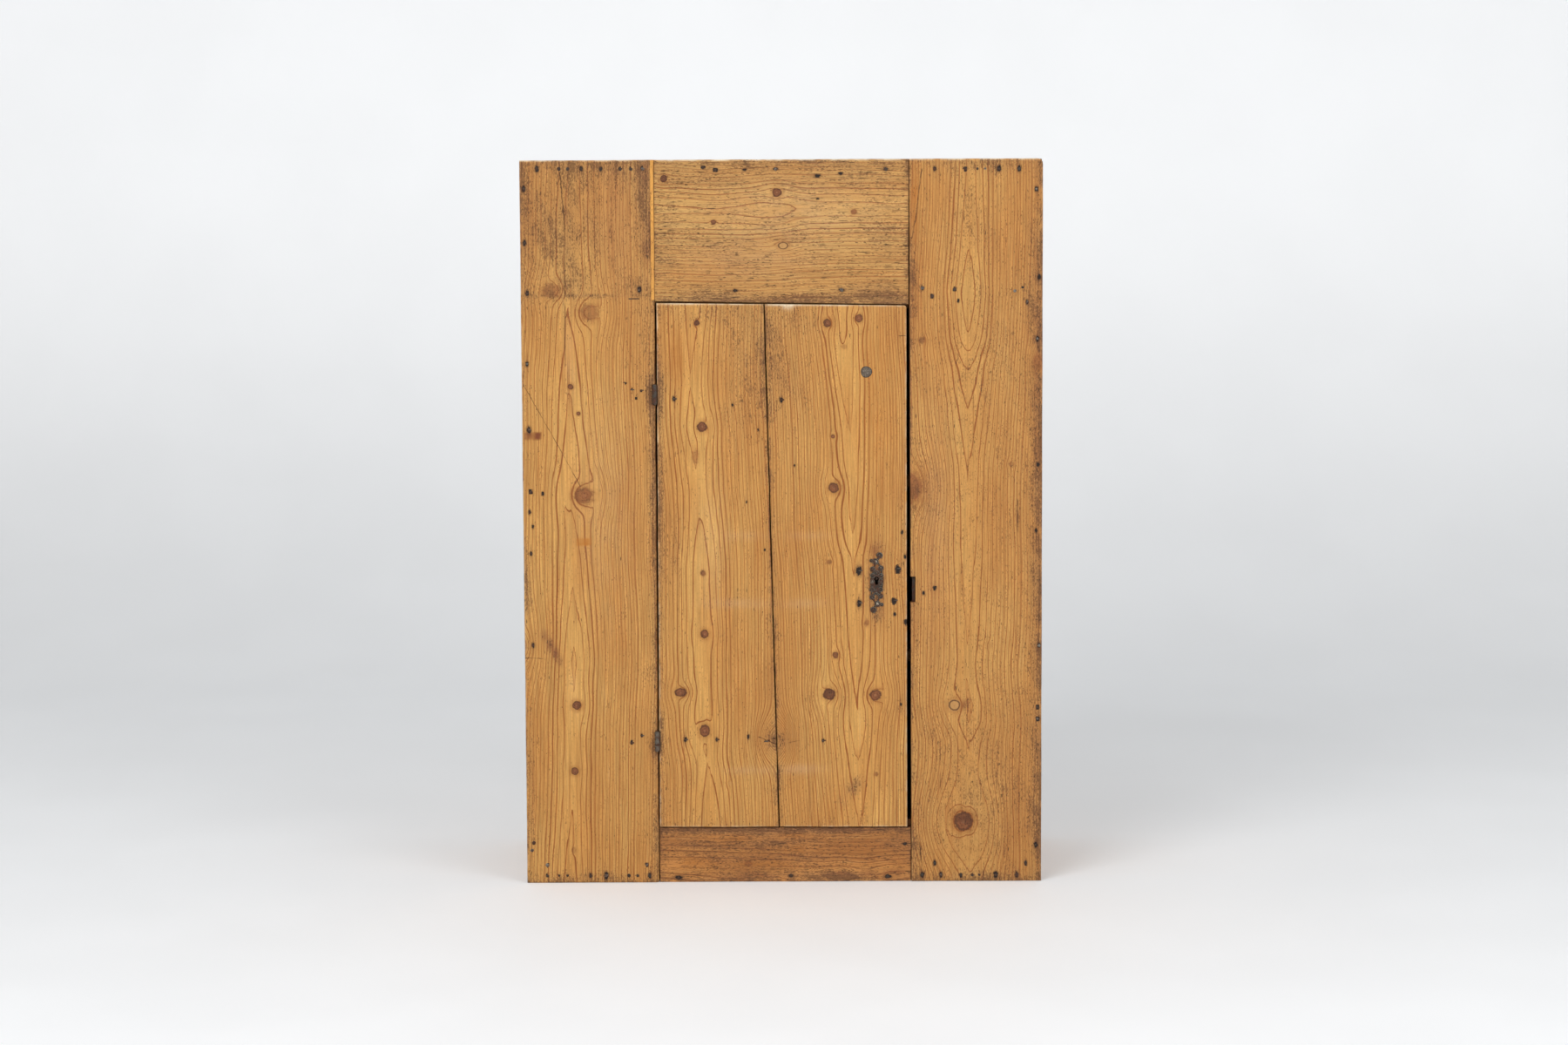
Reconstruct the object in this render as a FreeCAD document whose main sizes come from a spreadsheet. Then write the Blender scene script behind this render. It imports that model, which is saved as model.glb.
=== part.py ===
import FreeCAD, Part
import math
import os
import re

import Sketcher
from FreeCAD import Placement, Rotation, Vector

# A tall storage cabinet of nailed pine boards with one ledged door, a cut cupboard lock
# and two butt hinges. Millimetres: X runs to the right, Y from front to back, Z up.
# The origin is on the floor under the middle of the cabinet.
# "Depth" below is measured backwards from the front plane, the face of the outer boards.

# Driving dimensions: cell name, value, meaning
SIZES = (
    ("case_width", 862.0, "over the two sides"),
    ("case_height", 1205.0, "floor to top"),
    ("case_depth", 400.0, "front plane to the back of the back boards"),
    ("front_plane", -196.0, "Y of the front plane"),
    ("front_thick", 22.0, "outer front boards"),
    ("side_thick", 22.0, "sides, top and bottom"),
    ("back_thick", 15.0, "back boards"),
    ("shelf_thick", 20.0, "shelves"),
    ("arris", 1.5, "worn edge of a front board"),
    ("worn_corner", 9.0, "rounded top right corner of the front"),
    ("overrun", 1.0, "how far a cutting tool stands out of the wood"),
    ("side_joint", 195.0, "depth where the two boards of a side meet"),
    ("top_joint", 208.0, "depth where the two top boards meet"),
    ("left_low", -209.6, "left front board, inner edge at the floor"),
    ("left_high", -212.2, "left front board, inner edge under the slip"),
    ("slip_left", -216.0, "slip beside the frieze, left edge"),
    ("slip_right", -210.1, "slip beside the frieze, right edge"),
    ("slip_foot", 974.0, "slip, lower end"),
    ("right_low", 213.6, "right front board, inner edge at the floor"),
    ("right_high", 210.4, "right front board, inner edge at the top"),
    ("frieze_left", -209.9, "frieze board, left end"),
    ("frieze_right", 209.5, "frieze board, right end"),
    ("frieze_low_left", 972.7, "frieze board, lower edge at its left end"),
    ("frieze_low_right", 965.9, "frieze board, lower edge at its right end"),
    ("frieze_back", 0.6, "depth of the frieze board's face"),
    ("slip_back", 0.4, "depth of the slip's face"),
    ("rail_left", -208.9, "bottom rail, left end"),
    ("rail_right", 212.8, "bottom rail, right end"),
    ("rail_high_left", 93.0, "bottom rail, upper edge at its left end"),
    ("rail_high_right", 91.6, "bottom rail, upper edge at its right end"),
    ("rail_back", 2.5, "depth of the bottom rail's face"),
    ("header_low", 960.0, "header batten, lower edge"),
    ("header_high", 1001.0, "header batten, upper edge"),
    ("stop_high", 102.0, "door stop strip, upper edge"),
    ("stop_thick", 18.0, "door stop strip"),
    ("door_proud", 2.5, "door face ahead of the front plane"),
    ("door_thick", 24.0, "door boards"),
    ("door_left_low", -208.0, "door, lower left corner"),
    ("door_left_high", -206.9, "door, upper left corner"),
    ("door_right_low", 206.4, "door, lower right corner"),
    ("door_right_high", 205.8, "door, upper right corner"),
    ("door_foot_left", 94.5, "door, height of the lower left corner"),
    ("door_foot_right", 93.4, "door, height of the lower right corner"),
    ("door_head_left", 969.8, "door, height of the upper left corner"),
    ("door_head_right", 964.4, "door, height of the upper right corner"),
    ("door_corner", 4.0, "rounded upper right corner of the door"),
    ("seam_low", -8.1, "door seam at the lower edge"),
    ("seam_high", -29.3, "door seam at the upper edge"),
    ("seam_gap", 0.8, "open seam between the door boards"),
    ("ledge_thick", 20.0, "door ledges"),
    ("ledge_wide", 72.0, "door ledges"),
    ("ledge_left", -190.0, "door ledges, left end"),
    ("ledge_right", 186.0, "door ledges, right end"),
    ("upper_ledge", 810.0, "upper ledge, height of its middle"),
    ("lower_ledge", 240.0, "lower ledge, height of its middle"),
    ("shelf_front", 60.0, "depth of a shelf's front edge"),
    ("shelf_joint", 225.0, "depth where the two boards of a shelf meet"),
    ("cleat_front", 66.0, "depth of a shelf cleat's front end"),
    ("upper_shelf", 680.0, "upper shelf, height of its top"),
    ("lower_shelf", 385.0, "lower shelf, height of its top"),
    ("cleat_wide", 32.0, "shelf cleats, height"),
    ("cleat_thick", 20.0, "shelf cleats, thickness"),
    ("hinge_line", -210.9, "X of the hinge axis"),
    ("hinge_proud", 3.5, "hinge axis ahead of the front plane"),
    ("knuckle_radius", 4.5, "hinge knuckle"),
    ("knuckle_long", 10.0, "hinge knuckle"),
    ("knuckle_gap", 0.5, "between two knuckles"),
    ("leaf_thick", 1.5, "hinge leaves"),
    ("leaf_out", 2.6, "from the hinge axis to the near face of a leaf"),
    ("leaf_front", 5.2, "leaf's front edge behind the hinge axis"),
    ("leaf_back", 20.0, "depth of a door leaf's rear edge"),
    ("flap_long", 53.0, "end of a case leaf's flap, from the hinge axis"),
    ("tab_front", 2.5, "tab that joins knuckle and leaf, front end"),
    ("tab_back", 5.3, "tab that joins knuckle and leaf, rear end"),
    ("mortise_play", 0.3, "gap above and below a leaf"),
    ("knuckle_play", 0.6, "gap round a knuckle"),
    ("knuckle_room", 2.0, "room above and below the knuckles"),
    ("pin_radius", 2.2, "hinge pin"),
    ("pin_head", 3.1, "hinge pin, radius of its two ends"),
    ("pin_head_thick", 1.3, "hinge pin, ends"),
    ("pin_play", 0.05, "radial play of the pin in the door leaf"),
    ("upper_hinge", 803.0, "upper hinge, lower end"),
    ("lower_hinge", 224.0, "lower hinge, lower end"),
    ("key_line", 155.5, "X of the key pin"),
    ("key_height", 510.3, "height of the key pin"),
    ("key_pin_radius", 1.8, "key pin"),
    ("key_pin_tip", 2.5, "depth of the key pin's tip"),
    ("key_room_radius", 5.0, "keyhole in the lock cap, round part"),
    ("key_room_slot", 6.4, "keyhole in the lock cap, width of its slot"),
    ("key_room_foot", 496.0, "keyhole in the lock cap, lower end"),
    ("keyhole_radius", 4.2, "round part of the keyhole"),
    ("keyhole_slot", 5.6, "width of the keyhole's slot"),
    ("keyhole_foot", 500.8, "lower end of the keyhole's slot"),
    ("plate_thick", 1.5, "lock plate, keeper and escutcheon"),
    ("plate_left", 121.0, "lock plate, left edge"),
    ("plate_right", 206.0, "lock plate, face of its edge strip"),
    ("plate_low", 462.0, "lock plate, lower edge"),
    ("plate_high", 536.0, "lock plate, upper edge"),
    ("strip_face", 9.0, "depth of the edge strip's front"),
    ("cap_left", 131.0, "lock cap, left edge"),
    ("cap_low", 479.0, "lock cap, lower edge"),
    ("cap_high", 523.0, "lock cap, upper edge"),
    ("cap_face", 8.2, "depth of the lock cap's face"),
    ("cap_thick", 1.2, "lock cap"),
    ("bolt_left", 140.0, "bolt, tail"),
    ("bolt_right", 205.8, "bolt, nose when drawn back"),
    ("bolt_low", 487.0, "bolt, lower edge"),
    ("bolt_high", 501.0, "bolt, upper edge"),
    ("bolt_face", 11.0, "depth of the bolt's front face"),
    ("bolt_thick", 6.0, "bolt"),
    ("bolt_throw", 11.5, "travel of the bolt"),
    ("bolt_play", 0.3, "gap round the bolt"),
    ("talon_left", 7.0, "notch for the key, left of the key pin"),
    ("talon_right", 4.0, "notch for the key, right of the key pin"),
    ("talon_deep", 5.5, "notch for the key, depth"),
    ("guide_line", 176.0, "X of the post that guides the bolt"),
    ("guide_radius", 2.5, "post that guides the bolt"),
    ("spring_thick", 0.8, "bolt spring"),
    ("spring_radius", 56.3, "bow of the bolt spring"),
    ("spring_arc", 52.6, "degrees of the bolt spring's bow"),
    ("spring_top", 486.75, "bolt spring, crown"),
    ("spring_line", 165.0, "X of the bolt spring's crown"),
    ("notch_right", 220.5, "keeper notch, right side"),
    ("notch_low", 470.9, "keeper notch, lower end"),
    ("notch_high", 514.2, "keeper notch, upper end"),
    ("keeper_right", 220.1, "keeper, right side"),
    ("keeper_play", 0.3, "gap above and below the keeper"),
    ("keeper_lip", 215.2, "keeper, free edge of its front lip"),
    ("keeper_face", 8.6, "depth of the keeper's front lip"),
    ("scroll_line", 155.6, "X of the escutcheon's middle"),
    ("scroll_height", 504.6, "height of the escutcheon's middle"),
    ("scroll_lobe", 5.3, "end knob of the escutcheon"),
    ("scroll_half_wide", 10.8, "half the width of the escutcheon's middle"),
    ("scroll_half_tall", 11.0, "half the height of the escutcheon's middle"),
    ("nail_head", 3.4, "board nail, head radius"),
    ("nail_head_thick", 1.2, "board nail, head"),
    ("nail_shank", 1.5, "board nail, shank radius"),
    ("nail_reach", 42.0, "board nail, length"),
    ("nail_proud", 0.2, "board nail heads ahead of the wood"),
    ("brad_head", 2.2, "small nail, head radius"),
    ("brad_head_thick", 0.8, "small nail, head"),
    ("brad_shank", 1.0, "small nail, shank radius"),
    ("blind_reach", 38.0, "ledge nail that stops inside the door"),
    ("brad_long", 18.0, "small nail, length"),
    ("dome_radius", 3.43, "domed nail, radius of its dome"),
    ("dome_centre", 1.83, "domed nail, middle of its dome behind the plate's face"),
    ("dome_long", 11.0, "domed nail, length"),
    ("staple_leg", 30.0, "staple, length of a leg"),
    ("clench_long", 6.0, "turned-over end of a clenched nail"),
    ("clench_sink", 0.5, "depth of a turned-over end's middle in the wood"),
)

# Nails seen on the front, as X and height of each head
LEFT_BOARD_NAILS = (
    (-402.2, 1190.7), (-365.6, 1190.6), (-351.2, 1190.5), (-329.1, 1190.4),
    (-296.9, 1190.3), (-264.6, 1190.1), (-247.4, 1190.1), (-228.1, 1190.0),
    (-424.0, 1158.1), (-423.6, 1069.6), (-420.3, 986.6), (-421.6, 870.2),
    (-420.0, 760.7), (-418.3, 657.9), (-420.1, 624.6), (-418.7, 554.9),
    (-416.9, 401.8), (-419.2, 68.1), (-422.3, 55.5), (-234.7, 992.0),
    (-397.2, 12.5), (-377.4, 12.4), (-363.3, 12.4), (-324.8, 12.2),
    (-298.5, 12.1), (-260.5, 11.9), (-245.9, 11.8), (-225.5, 11.7),
    (-230.5, 30.5), (-397.0, 30.0),
)
RIGHT_BOARD_NAILS = (
    (252.6, 1188.4), (302.7, 1188.2), (322.8, 1188.1), (335.7, 1188.1),
    (358.6, 1188.0), (391.6, 1187.8), (420.3, 1154.4), (422.4, 908.2),
    (426.5, 398.0), (424.0, 294.0), (424.0, 275.0), (421.7, 61.4),
    (232.4, 993.0), (248.2, 979.3), (285.6, 990.6), (385.0, 987.3),
    (397.7, 993.0), (405.0, 969.0), (231.3, 11.2), (262.6, 11.0),
    (296.2, 10.9), (315.2, 10.8), (326.9, 10.8), (354.6, 10.6),
    (389.7, 10.5), (405.0, 30.4), (252.4, 31.1),
)
FRIEZE_NAILS = (
    (-128.5, 1192.4), (-108.5, 1188.0), (-8.9, 1189.0), (171.8, 1188.0),
    (-76.6, 990.0), (98.7, 990.0),
)
RAIL_NAILS = ((-177.3, 8.0), (11.2, 10.0), (173.4, 8.0), (202.3, 63.8))
HINGE_FLAP_NAILS = (
    (-250.6, 827.0), (-234.7, 826.0),
    (-255.7, 236.9), (-238.8, 249.0),
)
LEDGE_NAILS = (
    (-180.1, 811.6), (-2.7, 809.3), (-165.4, 242.3),
    (-113.0, 242.1), (-31.5, 238.8), (64.6, 239.8),
)
BLIND_LEDGE_NAILS = (
    (-96.0, 796.0), (92.0, 824.0), (172.0, 797.0), (171.0, 226.0),
)
LOCK_NAILS = ((126.4, 524.8), (126.3, 470.9), (190.2, 528.0), (185.0, 475.0))
STAPLE_LEGS = (-252.0, -236.0)
STAPLE_HEIGHT = 977.0

# Nails that only the top, sides, back and inside show: depths, heights and places along a board
SIDE_NAIL_DEPTHS = (62.0, 118.0, 176.0, 222.0, 290.0, 356.0)
TOP_NAIL_DEPTHS = (64.0, 126.0, 190.0, 228.0, 296.0, 358.0)
BACK_SIDE_NAIL_HEIGHTS = (120.0, 250.0, 520.0, 810.0, 960.0, 1090.0)
BACK_BOARD_INSET = 38.0
SHELF_NAIL_DEPTHS = (100.0, 190.0, 262.0, 348.0)
CLEAT_NAIL_DEPTHS = (84.0, 210.0, 330.0)
KEEPER_NAIL_HEIGHTS = (477.5, 507.5)
KEEPER_NAIL_DEPTH = 15.0
# Nails of a door leaf: depth, and height above the leaf's lower end
LEAF_NAILS = ((8.0, 6.0), (14.0, 25.0))
# Worn edges of the front boards lie outside these places
DOOR_LEDGE_EDGE = 19.9
OUTER_EDGE = 230.0

# One half of the pierced escutcheon; the other half is the same turned by 180 degrees.
# Lobes are X, height and radius as a share of the end knob, from the escutcheon's middle.
SCROLL_LOBES = (
    (5.2, 45.5, 1.0), (-1.6, 35.4, 1.0), (-8.6, 36.6, 0.58),
    (-6.6, 22.6, 0.86), (7.3, 24.2, 0.86), (0.4, 16.2, 0.9),
    (-6.6, 11.6, 0.82), (7.4, 11.8, 0.82),
)
# Bars join two lobes: the numbers of the lobes in the list above, and the bar's width
SCROLL_BARS = ((0, 1, 4.6), (1, 2, 4.0), (1, 4, 3.6), (1, 3, 3.6), (3, 5, 4.4), (4, 5, 4.4))
SCROLL_HOLES = ((-6.4, 15.6, 0.24), (7.6, 16.0, 0.24))
SCROLL_NAIL = (-1.6, 35.4)

WORD = re.compile(r"[a-z][a-z_]+(?![a-z_(])")
TURNS = {
    "+X": Rotation(Vector(0, 1, 0), 90),
    "-X": Rotation(Vector(0, 1, 0), -90),
    "+Y": Rotation(Vector(1, 0, 0), -90),
    "-Y": Rotation(Vector(1, 0, 0), 90),
    "+Z": Rotation(),
    "-Z": Rotation(Vector(1, 0, 0), 180),
}
PLANES = {"front": "XZ_Plane", "side": "YZ_Plane", "flat": "XY_Plane"}

doc = FreeCAD.newDocument("storage_cabinet")
sheet = doc.addObject("Spreadsheet::Sheet", "Sizes")
for row, (alias, value, meaning) in enumerate(SIZES, 1):
    sheet.set(f"A{row}", meaning)
    sheet.set(f"B{row}", str(value))
    sheet.setAlias(f"B{row}", alias)
doc.recompute()
nodes = {}


def cells(text):
    """An expression in which every cell name is written out with its sheet."""
    return WORD.sub(lambda word: "Sizes." + word.group(0), str(text))


def size(text):
    return float(sheet.evalExpression(cells(text)))


def bind(item, **fields):
    for field, text in fields.items():
        item.setExpression(field.replace("_at_", "."), cells(text))


def put(item, x, depth, z, way="+Z"):
    """Places an item by X, its depth behind the front plane and its height."""
    item.Placement = Placement(Vector(), TURNS[way])
    bind(
        item,
        Placement_at_Base_at_x=x,
        Placement_at_Base_at_y=f"front_plane + ({depth})",
        Placement_at_Base_at_z=z,
    )
    return item


def block(name, x, depth, z):
    """A box between low and high limits."""
    item = doc.addObject("Part::Box", name)
    bind(
        item,
        Length=f"({x[1]}) - ({x[0]})",
        Width=f"({depth[1]}) - ({depth[0]})",
        Height=f"({z[1]}) - ({z[0]})",
    )
    return put(item, x[0], depth[0], z[0])


def rod(name, radius, length, x, depth, z, way="+Z"):
    item = doc.addObject("Part::Cylinder", name)
    bind(item, Radius=radius, Height=length)
    return put(item, x, depth, z, way)


def fused(name, items):
    item = doc.addObject("Part::MultiFuse", name)
    item.Shapes = items
    item.Refine = True
    return item


def gathered(name, items):
    item = doc.addObject("Part::Compound", name)
    item.Links = items
    return item


def cut_by(name, blank, tools):
    """The blank less its tools: nails that pass through it, mortises and holes."""
    item = doc.addObject("Part::Cut", name)
    item.Base = blank
    item.Tool = tools[0] if len(tools) == 1 else gathered(name + "_tools", tools)
    return item


def keep(name, item):
    """Names an item as one sub-part of the cabinet."""
    item.Label = name
    nodes[name] = item
    return item


def plank(name, face, corners, thick, x="0", depth="0", z="0", worn=None, round_at=None):
    """A board padded from an outline on the body's own plane, with worn edges.

    worn is a test on the middle of an edge, in the body's own axes; round_at is the
    place and radius of one corner that is rounded first.
    """
    body = doc.addObject("PartDesign::Body", name + "_blank")
    plane = next(f for f in body.Origin.OriginFeatures if f.Role == PLANES[face])
    sketch = body.newObject("Sketcher::SketchObject", name + "_outline")
    sketch.AttachmentSupport = [(plane, "")]
    sketch.MapMode = "FlatFace"
    count = len(corners)
    points = [Vector(size(a), size(b), 0) for a, b in corners]
    for i in range(count):
        sketch.addGeometry(Part.LineSegment(points[i], points[(i + 1) % count]), False)
    for i in range(count):
        sketch.addConstraint(Sketcher.Constraint("Coincident", i, 2, (i + 1) % count, 1))
    for i, corner in enumerate(corners):
        for axis, text, place in zip("XY", corner, (points[i].x, points[i].y)):
            kind = Sketcher.Constraint("Distance" + axis, -1, 1, i, 1, place)
            label = f"corner{i}{axis}"
            sketch.renameConstraint(sketch.addConstraint(kind), label)
            if WORD.search(text):
                sketch.setExpression("Constraints." + label, cells(text))
    pad = body.newObject("PartDesign::Pad", name + "_pad")
    pad.Profile = sketch
    pad.Reversed = face == "front"
    bind(pad, Length=thick)
    put(body, x, depth, z)
    doc.recompute()
    last = pad
    if round_at:
        (across, up), radius = round_at
        spot = (size(across), size(up))
        last = ease(body, last, radius, lambda m: (round(m.x, 3), round(m.z, 3)) == spot)
    if worn:
        last = ease(body, last, "arris", worn)
    return body


def ease(body, base, radius, chosen):
    """Rounds the edges of a body whose middles pass a test."""
    names = [
        f"Edge{i}"
        for i, edge in enumerate(base.Shape.Edges, 1)
        if chosen(edge.CenterOfMass)
    ]
    fillet = body.newObject("PartDesign::Fillet", base.Name + "_worn")
    fillet.Base = (base, names)
    bind(fillet, Radius=radius)
    doc.recompute()
    return fillet


def rectangle(low_a, high_a, low_b, high_b):
    return (
        (low_a, low_b),
        (high_a, low_b),
        (high_a, high_b),
        (low_a, high_b),
    )


def nail_pattern(name, head, head_thick, shank, reach, clench=False):
    """A nail that points along +Z from its head's outer face at the origin."""
    pieces = [doc.addObject("Part::Cylinder", name + "_head")]
    bind(pieces[0], Radius=head, Height=head_thick)
    stem = doc.addObject("Part::Cylinder", name + "_stem")
    bind(stem, Radius=shank)
    pieces.append(stem)
    if clench:
        bind(stem, Height=reach)
        bar = doc.addObject("Part::Cylinder", name + "_bar")
        bar.Placement = Placement(Vector(), TURNS["+X"])
        bind(bar, Radius=shank, Height="clench_long", Placement_at_Base_at_z=reach)
        knob = doc.addObject("Part::Sphere", name + "_bend")
        bind(knob, Radius=shank, Placement_at_Base_at_z=reach)
        pieces += [bar, knob]
    else:
        bind(stem, Height=f"({reach}) - 4 * ({shank})")
        point = doc.addObject("Part::Cone", name + "_point")
        point.Radius2 = 0
        bind(point, Radius1=shank, Height=f"4 * ({shank})")
        bind(point, Placement_at_Base_at_z=f"({reach}) - 4 * ({shank})")
        pieces.append(point)
    return fused(name, pieces)


def nails(name, kinds):
    """Like fasteners as one group. kinds lists a pattern, its way in and its spots."""
    links = []
    for pattern, way, spots in kinds:
        for spot in spots:
            link = doc.addObject("App::Link", f"{name}_{len(links) + 1}")
            link.LinkedObject = pattern
            links.append(put(link, *spot, way))
    return keep(name, gathered(name + "_group", links))


def on_front(spots, depth="-nail_proud"):
    return [(x, depth, z) for x, z in spots]


# Limits that several boards share
LEFT, RIGHT = "-case_width / 2", "case_width / 2"
INNER_LEFT, INNER_RIGHT = "side_thick - case_width / 2", "case_width / 2 - side_thick"
BACK = "case_depth - back_thick"
DOOR_BACK = "door_thick - door_proud"
TOP_UNDER = "case_height - side_thick"
HINGE_TALL = "(3 * knuckle_long + 2 * knuckle_gap)"


def make_nails():
    """Every group of nails; the boards are then bored to fit them."""
    board_nail = nail_pattern(
        "board_nail", "nail_head", "nail_head_thick", "nail_shank", "nail_reach"
    )
    ledge_reach = "ledge_thick + door_thick - clench_sink"
    ledge_nail = nail_pattern(
        "ledge_nail", "nail_head", "nail_head_thick", "nail_shank * 0.8", ledge_reach, True
    )
    blind_nail = nail_pattern(
        "blind_nail", "nail_head", "nail_head_thick", "nail_shank * 0.8", "blind_reach"
    )
    lock_nail = nail_pattern(
        "lock_nail", "brad_head", "brad_head_thick", "brad_shank",
        "door_thick - clench_sink", True,
    )
    flap_back = "front_thick + leaf_thick + brad_head_thick"
    flap_nail = nail_pattern(
        "flap_nail", "brad_head", "brad_head_thick", "brad_shank",
        flap_back + " - clench_sink", True,
    )
    edge_nail = nail_pattern(
        "edge_nail", "brad_head", "brad_head_thick", "brad_shank", "brad_long"
    )
    nails("front_left_nails", [(board_nail, "+Y", on_front(LEFT_BOARD_NAILS))])
    nails("front_right_nails", [(board_nail, "+Y", on_front(RIGHT_BOARD_NAILS))])
    nails("frieze_nails", [
        (board_nail, "+Y", on_front(FRIEZE_NAILS, "frieze_back - nail_proud")),
    ])
    nails("rail_nails", [(board_nail, "+Y", on_front(RAIL_NAILS, "rail_back - nail_proud"))])
    bottom_middle = "side_thick / 2"
    nails("side_nails", [
        (board_nail, "+X", [(LEFT, d, bottom_middle) for d in SIDE_NAIL_DEPTHS]),
        (board_nail, "-X", [(RIGHT, d, bottom_middle) for d in SIDE_NAIL_DEPTHS]),
    ])
    side_middle = "case_width / 2 - side_thick / 2"
    nails("top_nails", [
        (board_nail, "-Z", [(f"{sign}({side_middle})", d, "case_height")
                            for sign in ("-", "") for d in TOP_NAIL_DEPTHS]),
    ])
    nails("back_nails", [(board_nail, "-Y", back_nail_spots(side_middle))])
    nails("shelf_nails", shelf_nail_spots(board_nail, edge_nail))
    nails("door_ledge_nails", [
        (ledge_nail, "-Y", on_front(LEDGE_NAILS, DOOR_BACK + " + ledge_thick")),
        (blind_nail, "-Y", on_front(BLIND_LEDGE_NAILS, DOOR_BACK + " + ledge_thick")),
    ])
    nails("lock_nails", [(lock_nail, "-Y", on_front(LOCK_NAILS, DOOR_BACK))])
    nails("hinge_case_nails", [(flap_nail, "-Y", on_front(HINGE_FLAP_NAILS, flap_back))])
    nails("hinge_door_nails", [
        (edge_nail, "+X", [
            ("hinge_line + leaf_out - brad_head_thick", depth, f"{low} + {up}")
            for low in ("upper_hinge", "lower_hinge")
            for depth, up in LEAF_NAILS
        ]),
    ])
    nails("keeper_nails", [
        (edge_nail, "+X", [
            ("keeper_right - plate_thick - brad_head_thick", KEEPER_NAIL_DEPTH, z)
            for z in KEEPER_NAIL_HEIGHTS
        ]),
    ])


def back_nail_spots(side_middle):
    """Two nails where each back board crosses top, bottom and shelves, and down both sides."""
    levels = (
        "side_thick / 2",
        "lower_shelf - shelf_thick / 2",
        "upper_shelf - shelf_thick / 2",
        "case_height - side_thick / 2",
    )
    spots = []
    for number in range(4):
        low = f"case_width * ({number} / 4 - 1 / 2)"
        for x in (f"{low} + {BACK_BOARD_INSET}", f"{low} + case_width / 4 - {BACK_BOARD_INSET}"):
            spots += [(x, "case_depth", level) for level in levels]
    for sign in ("-", ""):
        spots += [(f"{sign}({side_middle})", "case_depth", z) for z in BACK_SIDE_NAIL_HEIGHTS]
    return spots


def shelf_nail_spots(board_nail, edge_nail):
    """Nails down through the shelves into the cleats, and through the cleats into the sides."""
    cleat_middle = "case_width / 2 - side_thick - cleat_thick / 2"
    cleat_face = "case_width / 2 - side_thick - cleat_thick"
    down, outward = [], {"+X": [], "-X": []}
    for shelf in ("upper_shelf", "lower_shelf"):
        for sign, way in (("-", "-X"), ("", "+X")):
            down += [(f"{sign}({cleat_middle})", d, shelf) for d in SHELF_NAIL_DEPTHS]
            outward[way] += [
                (f"{sign}({cleat_face})", d, f"{shelf} - shelf_thick - cleat_wide / 2")
                for d in CLEAT_NAIL_DEPTHS
            ]
    return [(board_nail, "-Z", down)] + [
        (edge_nail, way, spots) for way, spots in outward.items()
    ]


def make_front():
    """The fixed boards of the front, with the slip that fills beside the frieze."""
    def outer(edge):
        """Worn edges of the left board: front face, not along the inner edge."""
        return abs(edge.y) < 0.01 and abs(edge.x) > OUTER_EDGE

    left = plank(
        "front_left", "front",
        ((LEFT, "0"), ("left_low", "0"), ("left_high", "slip_foot"),
         ("slip_left", "slip_foot"), ("slip_left", "case_height"), (LEFT, "case_height")),
        "front_thick", worn=outer,
    )
    keep("front_left_board", cut_by("front_left_cut", left, [
        nodes["front_left_nails"], nodes["hinge_case_nails"],
        hinge_mortise("upper_hinge", "case"), hinge_mortise("lower_hinge", "case"),
        nodes["staple"],
    ]))
    right = plank(
        "front_right", "front",
        (("right_low", "0"), (RIGHT, "0"), (RIGHT, "case_height"), ("right_high", "case_height")),
        "front_thick", worn=outer, round_at=((RIGHT, "case_height"), "worn_corner"),
    )
    notch = block(
        "keeper_notch", ("right_high - overrun", "notch_right"),
        ("-overrun", "front_thick + overrun"), ("notch_low", "notch_high"),
    )
    keep("front_right_board", cut_by("front_right_cut", right, [
        nodes["front_right_nails"], nodes["keeper_nails"], notch,
    ]))
    frieze = plank(
        "frieze", "front",
        (("frieze_left", "frieze_low_left"), ("frieze_right", "frieze_low_right"),
         ("frieze_right", "case_height"), ("frieze_left", "case_height")),
        "front_thick - frieze_back", depth="frieze_back",
    )
    keep("frieze_board", cut_by("frieze_cut", frieze, [nodes["frieze_nails"]]))
    keep("frieze_slip", plank(
        "slip", "front",
        rectangle("slip_left", "slip_right", "slip_foot", "case_height"),
        "front_thick - slip_back", depth="slip_back",
    ))
    rail = plank(
        "rail", "front",
        (("rail_left", "0"), ("rail_right", "0"),
         ("rail_right", "rail_high_right"), ("rail_left", "rail_high_left")),
        "front_thick - rail_back", depth="rail_back",
    )
    keep("bottom_rail", cut_by("rail_cut", rail, [nodes["rail_nails"]]))
    through = [nodes[name] for name in ("front_left_nails", "front_right_nails")]
    header = plank(
        "header", "front", rectangle(INNER_LEFT, INNER_RIGHT, "header_low", "header_high"),
        "front_thick", depth="front_thick",
    )
    keep("header_batten", cut_by(
        "header_cut", header, through + [nodes["frieze_nails"], nodes["staple"]]
    ))
    stop = plank(
        "stop", "front", rectangle(INNER_LEFT, INNER_RIGHT, "side_thick", "stop_high"),
        "stop_thick", depth="front_thick",
    )
    keep("door_stop_strip", cut_by("stop_cut", stop, through + [nodes["rail_nails"]]))


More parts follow.
